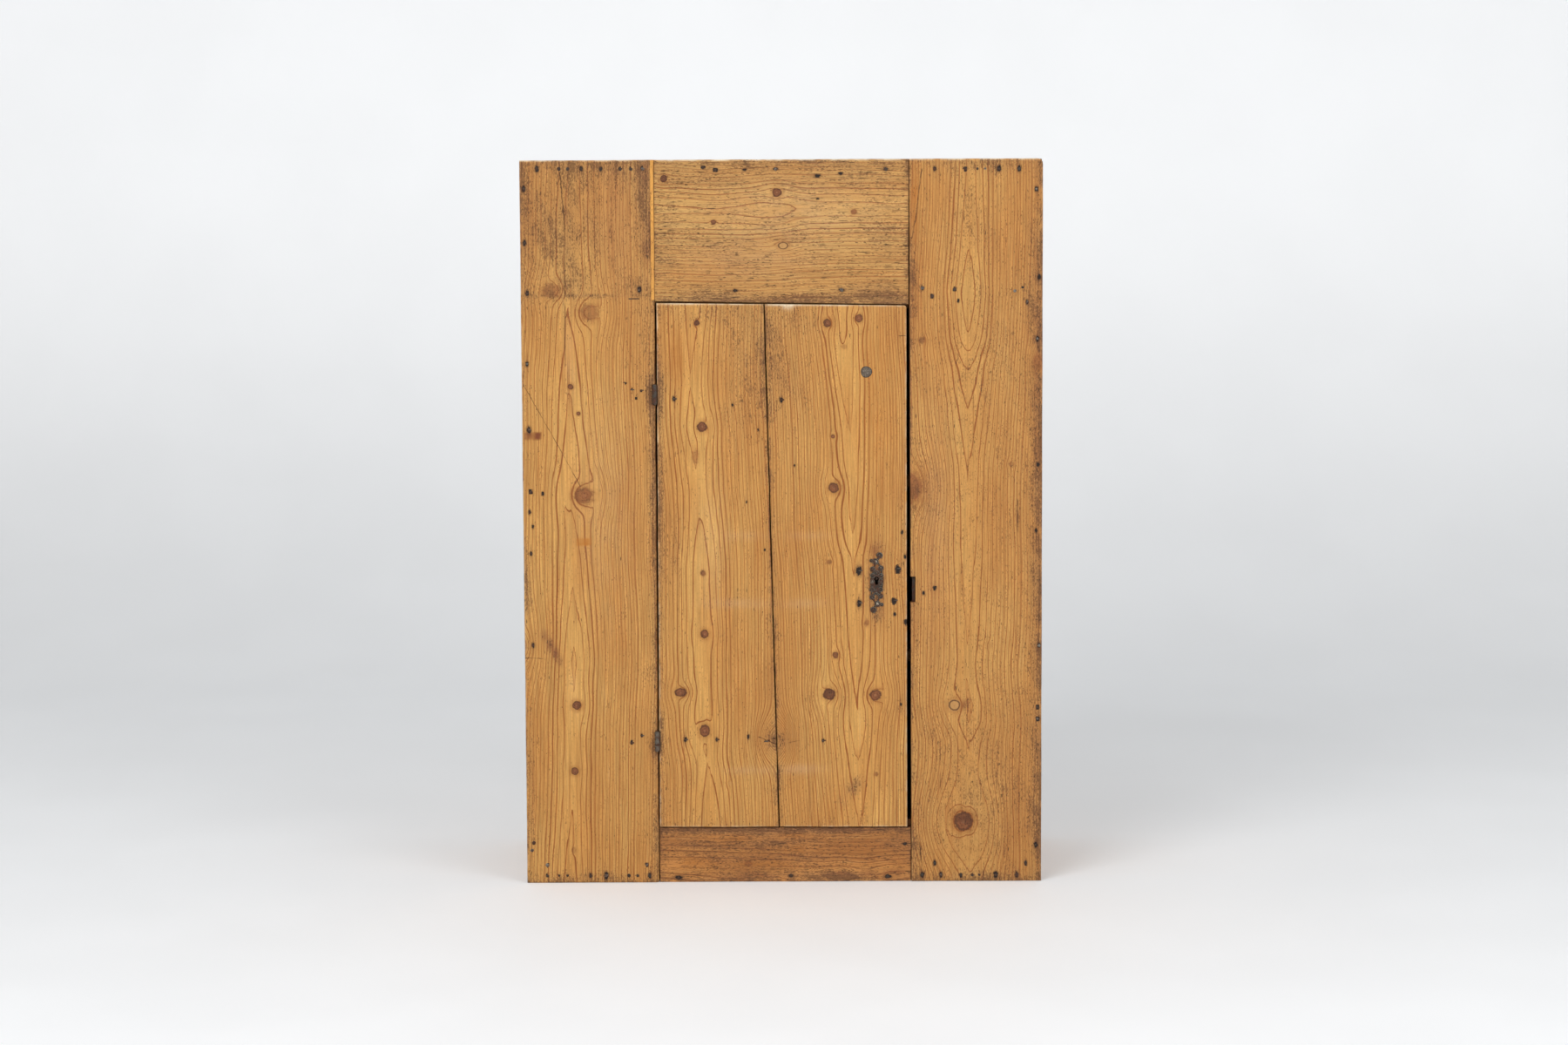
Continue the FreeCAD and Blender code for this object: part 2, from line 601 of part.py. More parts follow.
def make_shell():
    """Sides, top, bottom and back, each of boards laid side by side."""
    front_nails = {"left": nodes["front_left_nails"], "right": nodes["front_right_nails"]}
    shared = [nodes[name] for name in ("side_nails", "top_nails", "back_nails", "shelf_nails")]
    for side, x in (("left", LEFT), ("right", INNER_RIGHT)):
        for part, low, high in (
            ("front", "front_thick", "side_joint"), ("rear", "side_joint", BACK)
        ):
            board = plank(
                f"{side}_side_{part}", "side", rectangle(low, high, "0", TOP_UNDER),
                "side_thick", x=x,
            )
            tools = shared + ([front_nails[side]] if part == "front" else [])
            keep(f"{side}_side_{part}_board", cut_by(f"{side}_side_{part}_cut", board, tools))
    for level, z, ends, nail_names in (
        ("top", TOP_UNDER, (LEFT, RIGHT), ("top_nails", "back_nails")),
        ("bottom", "0", (INNER_LEFT, INNER_RIGHT), ("side_nails", "back_nails")),
    ):
        for part, low, high in (
            ("front", "front_thick", "top_joint"), ("rear", "top_joint", BACK)
        ):
            board = plank(
                f"{level}_{part}", "flat", rectangle(*ends, low, high), "side_thick", z=z
            )
            tools = [nodes[name] for name in nail_names]
            if part == "front":
                tools += list(front_nails.values())
                tools.append(nodes["frieze_nails" if level == "top" else "rail_nails"])
            keep(f"{level}_{part}_board", cut_by(f"{level}_{part}_cut", board, tools))
    for number in range(4):
        low, high = (f"case_width * ({i} / 4 - 1 / 2)" for i in (number, number + 1))
        board = plank(
            f"back_{number + 1}", "front", rectangle(low, high, "0", "case_height"),
            "back_thick", depth=BACK,
        )
        keep(f"back_board_{number + 1}", cut_by(
            f"back_cut_{number + 1}", board, [nodes["back_nails"]]
        ))


def make_shelves():
    """Two shelves of two boards each, resting on cleats nailed to the sides."""
    for shelf in ("upper_shelf", "lower_shelf"):
        under = f"{shelf} - shelf_thick"
        for part, low, high in (
            ("front", "shelf_front", "shelf_joint"), ("rear", "shelf_joint", BACK)
        ):
            board = plank(
                f"{shelf}_{part}", "flat", rectangle(INNER_LEFT, INNER_RIGHT, low, high),
                "shelf_thick", z=under,
            )
            keep(f"{shelf}_{part}_board", cut_by(
                f"{shelf}_{part}_cut", board, [nodes["shelf_nails"], nodes["back_nails"]]
            ))
        for side, x in (("left", INNER_LEFT), ("right", INNER_RIGHT + " - cleat_thick")):
            cleat = plank(
                f"{shelf}_{side}_cleat", "side",
                rectangle("cleat_front", BACK, "0", "cleat_wide"),
                "cleat_thick", x=x, z=under + " - cleat_wide",
            )
            keep(f"{shelf}_{side}_cleat", cut_by(
                f"{shelf}_{side}_cleat_cut", cleat, [nodes["shelf_nails"]]
            ))


def hinge_mortise(low, owner):
    """Room in a board's edge for a leaf and for the round of the knuckles."""
    if owner == "case":
        x = ("hinge_line - leaf_out", "hinge_line + leaf_out")
        depth = ("-overrun", "front_thick + overrun")
    else:
        x = ("hinge_line - overrun", "hinge_line + leaf_out + leaf_thick")
        depth = ("-door_proud - overrun", "leaf_back")
    name = f"{low}_{owner}_mortise"
    return fused(name, [
        block(name + "_flat", x, depth, (
            f"{low} - mortise_play", f"{low} + {HINGE_TALL} + mortise_play"
        )),
        rod(
            name + "_round", "knuckle_radius + knuckle_play",
            f"{HINGE_TALL} + 2 * knuckle_room",
            "hinge_line", "-hinge_proud", f"{low} - knuckle_room",
        ),
    ])


def make_hinge(low):
    """A butt hinge: two outer knuckles on the case leaf, the middle one on the door leaf."""
    step = "(knuckle_long + knuckle_gap)"
    whole = (low, f"{low} + {HINGE_TALL}")
    tab_depth = ("tab_front - hinge_proud", "tab_back - hinge_proud")
    leaf_x = {
        "case": ("hinge_line - leaf_out", "hinge_line - leaf_out + leaf_thick"),
        "door": ("hinge_line + leaf_out", "hinge_line + leaf_out + leaf_thick"),
    }
    plate_end = {"case": "front_thick + leaf_thick", "door": "leaf_back"}
    for owner, knuckles in (("case", (0, 2)), ("door", (1,))):
        pieces = [block(
            f"{low}_{owner}_plate", leaf_x[owner],
            ("leaf_front - hinge_proud", plate_end[owner]), whole,
        )]
        for number in knuckles:
            foot = f"{low} + {number} * {step}"
            pieces.append(rod(
                f"{low}_knuckle_{number}", "knuckle_radius", "knuckle_long",
                "hinge_line", "-hinge_proud", foot,
            ))
            pieces.append(block(
                f"{low}_tab_{number}", leaf_x[owner], tab_depth, (foot, f"{foot} + knuckle_long")
            ))
        tools = [rod(
            f"{low}_{owner}_bore",
            "pin_radius" if owner == "case" else "pin_radius + pin_play",
            f"{HINGE_TALL} + 2 * overrun", "hinge_line", "-hinge_proud", f"{low} - overrun",
        )]
        if owner == "case":
            pieces.append(block(
                f"{low}_flap", ("hinge_line - flap_long", leaf_x["case"][1]),
                ("front_thick", "front_thick + leaf_thick"), whole,
            ))
        tools.append(nodes[f"hinge_{owner}_nails"])
        leaf = fused(f"{low}_{owner}_blank", pieces)
        keep(f"{low}_{owner}_leaf", cut_by(f"{low}_{owner}_leaf_cut", leaf, tools))
    pin = [rod(f"{low}_stem", "pin_radius", HINGE_TALL, "hinge_line", "-hinge_proud", low)]
    for end, z in (("foot", f"{low} - pin_head_thick"), ("head", whole[1])):
        pin.append(rod(
            f"{low}_{end}", "pin_head", "pin_head_thick", "hinge_line", "-hinge_proud", z
        ))
    keep(f"{low}_pin", fused(f"{low}_pin_turned", pin))


def make_door():
    """Two boards side by side with an open seam, held together by two ledges."""
    seam = {
        "left": ("seam_low - seam_gap / 2", "seam_high - seam_gap / 2"),
        "right": ("seam_low + seam_gap / 2", "seam_high + seam_gap / 2"),
    }
    seam_share = "(seam_low - door_left_low) / (door_right_low - door_left_low)"
    foot = f"door_foot_left + (door_foot_right - door_foot_left) * {seam_share}"
    head = f"door_head_left + (door_head_right - door_head_left) * {seam_share}"
    hinge_board = plank(
        "door_hinge", "front",
        (("door_left_low", "door_foot_left"), (seam["left"][0], foot),
         (seam["left"][1], head), ("door_left_high", "door_head_left")),
        "door_thick", depth="-door_proud", worn=lambda m: abs(m.y) < 0.01 and m.x < -60,
    )
    lock_board = plank(
        "door_lock", "front",
        ((seam["right"][0], foot), ("door_right_low", "door_foot_right"),
         ("door_right_high", "door_head_right"), (seam["right"][1], head)),
        "door_thick", depth="-door_proud", worn=lambda m: abs(m.y) < 0.01 and m.x > 40,
        round_at=(("door_right_high", "door_head_right"), "door_corner"),
    )
    shared = [nodes["door_ledge_nails"]]
    keep("door_hinge_board", cut_by("door_hinge_cut", hinge_board, shared + [
        nodes["hinge_door_nails"],
        hinge_mortise("upper_hinge", "door"), hinge_mortise("lower_hinge", "door"),
    ]))
    keep("door_lock_board", cut_by("door_lock_cut", lock_board, shared + lock_recesses()))
    for ledge in ("upper_ledge", "lower_ledge"):
        board = plank(
            ledge, "front",
            rectangle("ledge_left", "ledge_right",
                      f"{ledge} - ledge_wide / 2", f"{ledge} + ledge_wide / 2"),
            "ledge_thick", depth=DOOR_BACK, worn=lambda m: m.y > DOOR_LEDGE_EDGE,
        )
        keep(f"door_{ledge}", cut_by(f"{ledge}_cut", board, shared))


def lock_recesses():
    """The bed of the lock in the back and edge of the door, its nails and the keyhole."""
    beyond = DOOR_BACK + " + overrun"
    ahead = "-door_proud - overrun"
    bed = block(
        "lock_bed", ("cap_left - bolt_play", "plate_right - plate_thick"),
        ("cap_face", beyond), ("cap_low - bolt_play", "cap_high + bolt_play"),
    )
    seat = block(
        "plate_seat", ("plate_left", "plate_right"), (DOOR_BACK + " - plate_thick", beyond),
        ("plate_low", "plate_high"),
    )
    edge = block(
        "edge_seat", ("plate_right - plate_thick", "plate_right + overrun"),
        ("strip_face", beyond), ("plate_low", "plate_high"),
    )
    hole = rod(
        "keyhole_round", "keyhole_radius", f"cap_face - ({ahead})",
        "key_line", ahead, "key_height", "+Y",
    )
    slot = block(
        "keyhole_slot_cut",
        ("key_line - keyhole_slot / 2", "key_line + keyhole_slot / 2"),
        (ahead, "cap_face"), ("keyhole_foot", "key_height"),
    )
    room = fused("lock_room", [bed, seat, edge, hole, slot])
    return [room, nodes["lock_nails"], nodes["escutcheon_nails"]]


def make_lock():
    """Plate with edge strip and guide post, cap, key pin, bolt, its spring and the keeper."""
    plate_depth = DOOR_BACK + " - plate_thick"
    cap_inside = "cap_face + cap_thick"
    key_pin = rod(
        "key_pin", "key_pin_radius", DOOR_BACK + " - key_pin_tip",
        "key_line", "key_pin_tip", "key_height", "+Y",
    )
    keep("lock_key_pin", key_pin)
    plate = fused("lock_plate_blank", [
        block("plate_flat", ("plate_left", "plate_right"), (plate_depth, DOOR_BACK),
              ("plate_low", "plate_high")),
        block("plate_edge", ("plate_right - plate_thick", "plate_right"),
              ("strip_face", DOOR_BACK), ("plate_low", "plate_high")),
        rod("guide_post", "guide_radius", f"{plate_depth} - ({cap_inside})",
            "guide_line", cap_inside, "(bolt_low + bolt_high) / 2", "+Y"),
    ])
    window = block(
        "bolt_window", ("plate_right - plate_thick - overrun", "plate_right + overrun"),
        ("bolt_face - bolt_play", "bolt_face + bolt_thick + bolt_play"),
        ("bolt_low - bolt_play", "bolt_high + bolt_play"),
    )
    keep("lock_plate", cut_by("lock_plate_cut", plate, [window, key_pin, nodes["lock_nails"]]))
    cap = fused("lock_cap_blank", [
        block("cap_wall", ("cap_left", "plate_right - plate_thick"), ("cap_face", cap_inside),
              ("cap_low", "cap_high")),
        block("cap_end", ("cap_left", "cap_left + cap_thick"), ("cap_face", plate_depth),
              ("cap_low", "cap_high")),
        block("cap_floor", ("cap_left", "plate_right - plate_thick"), ("cap_face", plate_depth),
              ("cap_low", "cap_low + cap_thick")),
    ])
    through = ("cap_face - overrun", cap_inside + " + overrun")
    key_room = fused("key_room", [
        rod("key_room_top", "key_room_radius", "cap_thick + 2 * overrun",
            "key_line", through[0], "key_height", "+Y"),
        block("key_room_foot", ("key_line - key_room_slot / 2", "key_line + key_room_slot / 2"),
              through, ("key_room_foot", "key_height")),
    ])
    keep("lock_cap", cut_by("lock_cap_cut", cap, [key_room]))
    make_bolt()
    keeper_x = ("keeper_right - plate_thick", "keeper_right")
    keeper_z = ("notch_low + keeper_play", "notch_high - keeper_play")
    keeper = fused("keeper_blank", [
        block("keeper_web", keeper_x, ("keeper_face", "front_thick"), keeper_z),
        block("keeper_front", ("keeper_lip", "keeper_right"),
              ("keeper_face", "keeper_face + plate_thick"), keeper_z),
    ])
    keep("bolt_keeper", cut_by("keeper_cut", keeper, [nodes["keeper_nails"]]))


def make_bolt():
    """The sliding bolt, slotted for the guide post and notched for the key, and its bow spring."""
    reach = ("bolt_face", "bolt_face + bolt_thick")
    middle = "(bolt_low + bolt_high) / 2"
    blank = block("bolt_blank", ("bolt_left", "bolt_right"), reach, ("bolt_low", "bolt_high"))
    half = "(guide_radius + bolt_play)"
    wide = ("bolt_face - overrun", "bolt_face + bolt_thick + overrun")
    through = ("bolt_thick + 2 * overrun", "bolt_face - overrun")
    slot = fused("bolt_slot", [
        block("slot_run", ("guide_line - bolt_throw", "guide_line"), wide,
              (f"{middle} - {half}", f"{middle} + {half}")),
        rod("slot_end", half, through[0], "guide_line", through[1], middle, "+Y"),
        rod("slot_start", half, through[0], "guide_line - bolt_throw", through[1], middle, "+Y"),
    ])
    talon = block(
        "talon", ("key_line - talon_left", "key_line + talon_right"), wide,
        ("bolt_high - talon_deep", "bolt_high + overrun"),
    )
    keep("lock_bolt", cut_by("bolt_cut", blank, [slot, talon]))
    arc = size("spring_arc")
    bow = []
    for label, radius in (("outer", "spring_radius"), ("inner", "spring_radius - spring_thick")):
        sector = rod(
            f"spring_{label}", radius, "bolt_thick", "spring_line",
            "bolt_face + bolt_thick", "spring_top - spring_radius",
        )
        bind(sector, Angle="spring_arc")
        upright = TURNS["-Y"].multiply(Rotation(Vector(0, 0, 1), 90 - arc / 2))
        sector.Placement = Placement(sector.Placement.Base, upright)
        bow.append(sector)
    keep("bolt_spring", cut_by("spring_cut", bow[0], [bow[1]]))


def make_escutcheon():
    """A pierced iron plate of round lobes and bars, the same turned by 180 degrees."""
    face = "-door_proud - plate_thick"
    ahead = face + " - overrun"
    through = "plate_thick + 2 * overrun"
    pieces, holes, nail_spots = [], [], []
    for turn in (1, -1):
        for number, (x, z, share) in enumerate(SCROLL_LOBES):
            pieces.append(rod(
                f"lobe_{number}_{turn + 1}", f"scroll_lobe * {share}", "plate_thick",
                f"scroll_line + {turn * x}", face, f"scroll_height + {turn * z}", "+Y",
            ))
        for number, (start, end, width) in enumerate(SCROLL_BARS):
            (x1, z1, _), (x2, z2, _) = SCROLL_LOBES[start], SCROLL_LOBES[end]
            pieces.append(scroll_bar(f"bar_{number}_{turn + 1}", turn, (x1, z1), (x2, z2), width))
        for number, (x, z, share) in enumerate(SCROLL_HOLES):
            holes.append(rod(
                f"piercing_{number}_{turn + 1}", f"scroll_lobe * {share}", through,
                f"scroll_line + {turn * x}", ahead, f"scroll_height + {turn * z}", "+Y",
            ))
        x, z = SCROLL_NAIL
        nail_spots.append((f"scroll_line + {turn * x}", face, f"scroll_height + {turn * z}"))
    pieces.append(block(
        "scroll_middle",
        ("scroll_line - scroll_half_wide", "scroll_line + scroll_half_wide"),
        (face, "-door_proud"),
        ("scroll_height - scroll_half_tall", "scroll_height + scroll_half_tall"),
    ))
    blank = fused("escutcheon_blank", pieces)
    holes.append(rod(
        "scroll_keyhole", "keyhole_radius", through, "key_line", ahead, "key_height", "+Y",
    ))
    holes.append(block(
        "scroll_keyslot", ("key_line - keyhole_slot / 2", "key_line + keyhole_slot / 2"),
        (ahead, "0"), ("keyhole_foot", "key_height"),
    ))
    nails("escutcheon_nails", [(domed_nail(), "+Y", nail_spots)])
    keep("escutcheon", cut_by(
        "escutcheon_cut", blank, [fused("scroll_piercings", holes), nodes["escutcheon_nails"]]
    ))


def scroll_bar(name, turn, start, end, width):
    """A straight bar between two lobes of the escutcheon."""
    run = Vector(end[0] - start[0], 0, end[1] - start[1])
    item = doc.addObject("Part::Box", name)
    item.Length = run.Length
    item.Height = width
    bind(item, Width="plate_thick")
    angle = -math.degrees(math.atan2(run.z, run.x)) + (180 if turn < 0 else 0)
    tilt = Rotation(Vector(0, 1, 0), angle)
    corner = tilt.multVec(Vector(0, 0, -width / 2))
    put(
        item, f"scroll_line + {turn * start[0] + corner.x}", "-door_proud - plate_thick",
        f"scroll_height + {turn * start[1] + corner.z}",
    )
    item.Placement = Placement(item.Placement.Base, tilt)
    return item


def domed_nail():
    """A small nail with a domed head that stands on the escutcheon."""
    dome = doc.addObject("Part::Sphere", "dome")
    dome.Angle1 = -90
    bind(
        dome, Radius="dome_radius", Angle2="-asin(dome_centre / dome_radius)",
        Placement_at_Base_at_z="dome_centre",
    )
    stem = doc.addObject("Part::Cylinder", "dome_stem")
    bind(stem, Radius="brad_shank", Height="dome_long")
    return fused("domed_nail", [dome, stem])


def make_staple():
    """A bent nail hammered flat into the left board, both ends in the header batten."""
    middle = "clench_sink"
    low, high = STAPLE_LEGS
    bar = rod("staple_bar", "brad_shank", high - low, low, middle, STAPLE_HEIGHT, "+X")
    pieces = [bar]
    for number, x in enumerate(STAPLE_LEGS):
        leg = rod(
            f"staple_leg_{number}", "brad_shank", "staple_leg", x, middle, STAPLE_HEIGHT, "+Y"
        )
        bend = doc.addObject("Part::Sphere", f"staple_bend_{number}")
        bind(bend, Radius="brad_shank")
        pieces += [leg, put(bend, x, middle, STAPLE_HEIGHT)]
    keep("staple", fused("staple_bent", pieces))


make_nails()
make_staple()
make_escutcheon()
make_front()
make_shell()
make_shelves()
for hinge in ("upper_hinge", "lower_hinge"):
    make_hinge(hinge)
make_door()
make_lock()
doc.recompute()

faults = [
    f"{item.Name}: {item.State}"
    for item in doc.Objects
    if {"Invalid", "Error"} & set(item.State)
]
for name, item in nodes.items():
    shape = item.Shape
    if shape.isNull() or not shape.isValid():
        faults.append(f"{name} has no valid shape")
    elif not name.endswith("nails") and len(shape.Solids) != 1:
        faults.append(f"{name} has {len(shape.Solids)} solids")
if faults:
    raise RuntimeError("; ".join(faults))

os.makedirs("parts", exist_ok=True)
for name, item in nodes.items():
    item.Shape.exportStep(os.path.join("parts", name + ".step"))
print(len(nodes), "sub-parts written")
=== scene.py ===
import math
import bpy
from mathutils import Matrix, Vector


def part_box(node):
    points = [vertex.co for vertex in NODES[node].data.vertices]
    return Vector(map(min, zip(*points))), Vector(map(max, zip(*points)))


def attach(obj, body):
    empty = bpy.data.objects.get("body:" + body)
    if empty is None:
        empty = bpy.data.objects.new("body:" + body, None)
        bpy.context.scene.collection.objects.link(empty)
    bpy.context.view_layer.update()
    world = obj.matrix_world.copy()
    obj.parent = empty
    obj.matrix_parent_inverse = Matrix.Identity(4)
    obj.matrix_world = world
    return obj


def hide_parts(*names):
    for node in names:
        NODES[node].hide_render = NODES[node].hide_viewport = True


bl_info = {
    "name": "Storage cabinet in old pine",
    "version": (1, 0, 0),
    "blender": (4, 5, 0),
    "location": "View3D > Sidebar > Cabinet",
    "description": "Builds a nailed pine cabinet with one ledged door, its ironwork and a plain stage",
    "category": "Add Mesh",
}

import bmesh
import bpy
import numpy as np
from mathutils import Matrix, Vector

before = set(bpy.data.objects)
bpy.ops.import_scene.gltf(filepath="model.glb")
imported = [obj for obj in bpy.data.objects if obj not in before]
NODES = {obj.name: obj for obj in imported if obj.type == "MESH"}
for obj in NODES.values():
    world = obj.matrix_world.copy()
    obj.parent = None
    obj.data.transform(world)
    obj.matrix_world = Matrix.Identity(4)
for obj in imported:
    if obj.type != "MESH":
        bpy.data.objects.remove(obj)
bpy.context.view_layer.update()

# Lengths in this file are in millimetres, as a joiner gives them; meshes are in metres.
MM = 0.001
# What a point says that has no knot or mark near it
FAR = 99.0
# How far a knot, a mark and a crack can reach, and the strip kept between neighbours
KNOT_REACH, MARK_REACH, CRACK_REACH = 60.0, 28.0, 12.0
NEIGHBOUR_STRIP = 6.5
# How softly the figure's middle line bends, and how far its strong lines reach to each side
HEART_EASE, FIGURE_REACH = 30, 30.0
# How far from the middle line the figure's tips stay sharp, and by how much they rise
SPEAR_REACH = 18.0
SPEAR_RISE = 2.2
# Rings between the tree's heart and the ring that a figure counts as nought
FLATTER = 5.0
# How far from the tree's heart a board was sawn that the photograph doesn't show
LOG_DEPTH = 30.0
# How far a board's edge strays from a straight line, and how deep its worn lip goes
EDGE_WANDER = 0.25
LIP = 3.0
# Mesh lines beside each edge of a board: their distances from it
RIM_LINES = (0, 0.3, 0.9, 1.9, 3.4, 5.6)
# Down to this share of its thickness, a point of a board belongs to the face
FACE_SHARE = 0.6
# From this share a stain is a patch with a hard edge
HARD_STAIN = 0.85
# Nails from this length on go right through the door; its boards meet about here
CLENCHED_LENGTH = 40.0
DOOR_SEAM = -20.0

# ---------------------------------------------------------------------------
# What the photograph shows on each board of the front, in the board's own directions:
# u across the grain, v along it, w into the wood
# ---------------------------------------------------------------------------
# Knots: u, v, half width, half height, tone, how far the grain bends, closed rings.
# Tone 1 is a dark sound knot, 0.5 a brown one, -1 a pale eye with a red ring.
KNOTS = {
    "front_left_board": (
        (-380, 990.7, 13.5, 10, 0.45, 1.5, 1.6), (-318.5, 954.6, 13.5, 12.5, 0.45, 1.6, 1.8),
        (-350, 832.5, 4.4, 4.4, 1, 1.4, 0.4), (-337.5, 787.7, 3.2, 3, 0.9, 1.2, 0.2),
        (-329.4, 651.7, 13.5, 12, 0.6, 1.8, 2), (-345.3, 300.4, 6.8, 7, 1, 1.7, 0.9),
        (-349.3, 189.5, 5.6, 6.2, 1, 1.6, 0.6), (-348.2, 440.9, 3, 2.6, 0.7, 1, 0.1),
        (-335.8, 445.2, 2.4, 2.4, 1, 1, 0.1), (-436, 400, 9, 14, 0, 2.6, 3),
        (-352, 55, 3, 5, 0.3, 1, 0.3),
    ),
    "front_right_board": (
        (231.8, 906.2, 5, 4.6, 0.5, 1.3, 0.5), (212.5, 662, 17, 22, 0.55, 1.9, 3),
        (379.6, 700.7, 3.6, 4, 0.4, 1.2, 0.3), (285.4, 298, 9, 8.6, -1, 2, 1),
        (300.5, 101.8, 14.5, 15, 1, 2.3, 3.2), (424, 870, 8, 12, 0.4, 1.2, 0.6),
        (345, 398, 4, 5, 0.25, 1, 0.3),
    ),
    "frieze_board": (
        (1150.6, -6.9, 6.8, 7, 0.9, 1.4, 0.6), (1063.4, 2.7, 5.5, 8, -1, 1.6, 0.7),
        (1102.5, -111.9, 3.6, 4, 0.8, 1.2, 0.3), (1174.2, -193.1, 5.5, 5.5, 0.8, 1.3, 0.5),
        (1118.6, 119.2, 4, 4.5, 0.6, 1.2, 0.3),
    ),
    "door_hinge_board": (
        (-140.3, 936.6, 4.4, 4.4, 1, 1.3, 0.3), (-132.8, 765.2, 7.8, 7.8, 0.8, 1.5, 0.7),
        (-130.7, 419.5, 6.4, 7, 1, 1.7, 0.6), (-171.4, 321.6, 9.4, 6.6, 0.9, 1.5, 1.1),
        (-131.8, 256.9, 8, 9.5, 1, 1.9, 1.4), (-133, 521.6, 3.8, 4.4, 0.6, 1.6, 0.4),
        (-90.1, 167.7, 3, 3.6, -0.4, 1.1, 0.3), (-144, 716, 5, 11, 0.35, 1, 0),
        (-12, 243, 17, 20, 0, 1, 7.5),
    ),
    "door_lock_board": (
        (74.8, 935.6, 6.2, 6.2, 1, 1.5, 0.5), (127.4, 943.3, 6, 6, 1, 1.5, 0.5),
        (84.8, 662.9, 8.2, 8.2, 1, 1.8, 0.9), (76.5, 317.6, 9.4, 9, 0.8, 2, 1.3),
        (153.5, 315.8, 9, 8.6, 0.75, 2, 1.3), (102.8, 896.7, 4.5, 3, 0.3, 1, 0.2),
        (83.6, 748.3, 3.2, 3, 0.8, 1.2, 0.2), (77.2, 538.8, 3.4, 3.4, 0.5, 1.1, 0.2),
        (86.9, 383.4, 4.4, 5, 0.7, 1.3, 0.5), (139.3, 437.3, 3.4, 5.4, 0.5, 1.2, 0.3),
        (154.8, 182.8, 2.6, 3, 0.5, 1, 0.2), (-12, 243, 17, 20, 0, 1, 7.5),
    ),
    "bottom_rail": ((30, -60, 4, 6, 0.3, 1.2, 1),),
    "frieze_slip": ((-213, 1190, 1, 1, 0, 1, 0),),
}

# The ring that the surface shows on a board's middle line: v, ring number.
# A falling number makes a spear that points up, a rising one a spear that points down.
FIGURES = {
    "front_left_board": (
        (1205, 8.6), (1060, 8.3), (985, 7.9), (900, 7.55), (818, 6.9), (760, 6.6), (678, 5.9),
        (590, 5.55), (495, 4.9), (430, 4.3), (391, 3.9), (372, 3.8), (353, 3.9), (250, 4.2),
        (150, 4.05), (105, 3.9), (0, 3.3),
    ),
    "front_right_board": (
        (1205, 4.6), (1120, 4.3), (1060, 3.98), (985, 3.12), (918, 3.95), (903, 4.3), (889, 4.9),
        (875, 5.3), (860, 5.9), (830, 6.3), (802, 6.9), (750, 7.4), (703, 7.9), (560, 8.3), (422, 8.9),
        (370, 9.15), (336, 8.9), (300, 8.7), (268, 8.9), (252, 9.4), (237, 9.9), (180, 10.2),
        (137, 9.9), (100, 9.6), (56, 9.9), (36, 10.4), (17, 10.9), (0, 11.2),
    ),
    "frieze_board": (
        (-210, 3.55), (-160, 3.72), (-107, 3.86), (-70, 3.66), (-24, 3.2), (3, 3.3), (27, 4.02),
        (50, 4.35), (210, 4.5),
    ),
    "bottom_rail": (
        (-209, 5.3), (-80, 4.8), (40, 4.2), (70, 3.95), (95, 3.6), (118, 3.9), (132, 4.15), (150, 3.95),
        (175, 3.6), (213, 3.7),
    ),
    "door_hinge_board": (
        (970, 3.2), (920, 3.6), (867, 3.9), (840, 4.05), (814, 3.9), (765, 3.55), (713, 3.9),
        (660, 4.2), (612, 3.9), (540, 3.2), (420, 3.05), (300, 3.2), (223, 3.9), (209, 4.05),
        (195, 3.9), (140, 3.3), (90, 2.95),
    ),
    "door_lock_board": (
        (968, 3.4), (930, 3.55), (898, 3.9), (830, 4.35), (762, 4.9), (680, 5.35), (595, 5.9),
        (570, 6.2), (546, 6.9), (420, 7.2), (294, 7.9), (250, 8.4), (212, 8.9), (150, 9.4), (98, 9.9),
        (90, 10),
    ),
}

# Where the middle line of the figure runs: v, u
HEARTS = {
    "front_left_board": (
        (1205, -340), (985, -347), (818, -352), (500, -350), (350, -349), (105, -356), (0, -359),
    ),
    "front_right_board": (
        (1205, 312), (1058, 309), (860, 307), (422, 308), (336, 304), (250, 310), (100, 302), (0, 314),
    ),
    "frieze_board": ((-210, 1124), (-107, 1120), (0, 1124), (210, 1121)),
    "bottom_rail": ((-209, 30), (0, 16), (60, 9), (140, 8), (213, 12)),
    "door_hinge_board": (
        (970, -146), (867, -151), (814, -152), (713, -145), (612, -137), (223, -133), (195, -125),
        (90, -121),
    ),
    "door_lock_board": (
        (968, 100), (898, 101), (762, 113), (595, 116), (294, 124), (212, 124), (90, 127),
    ),
}

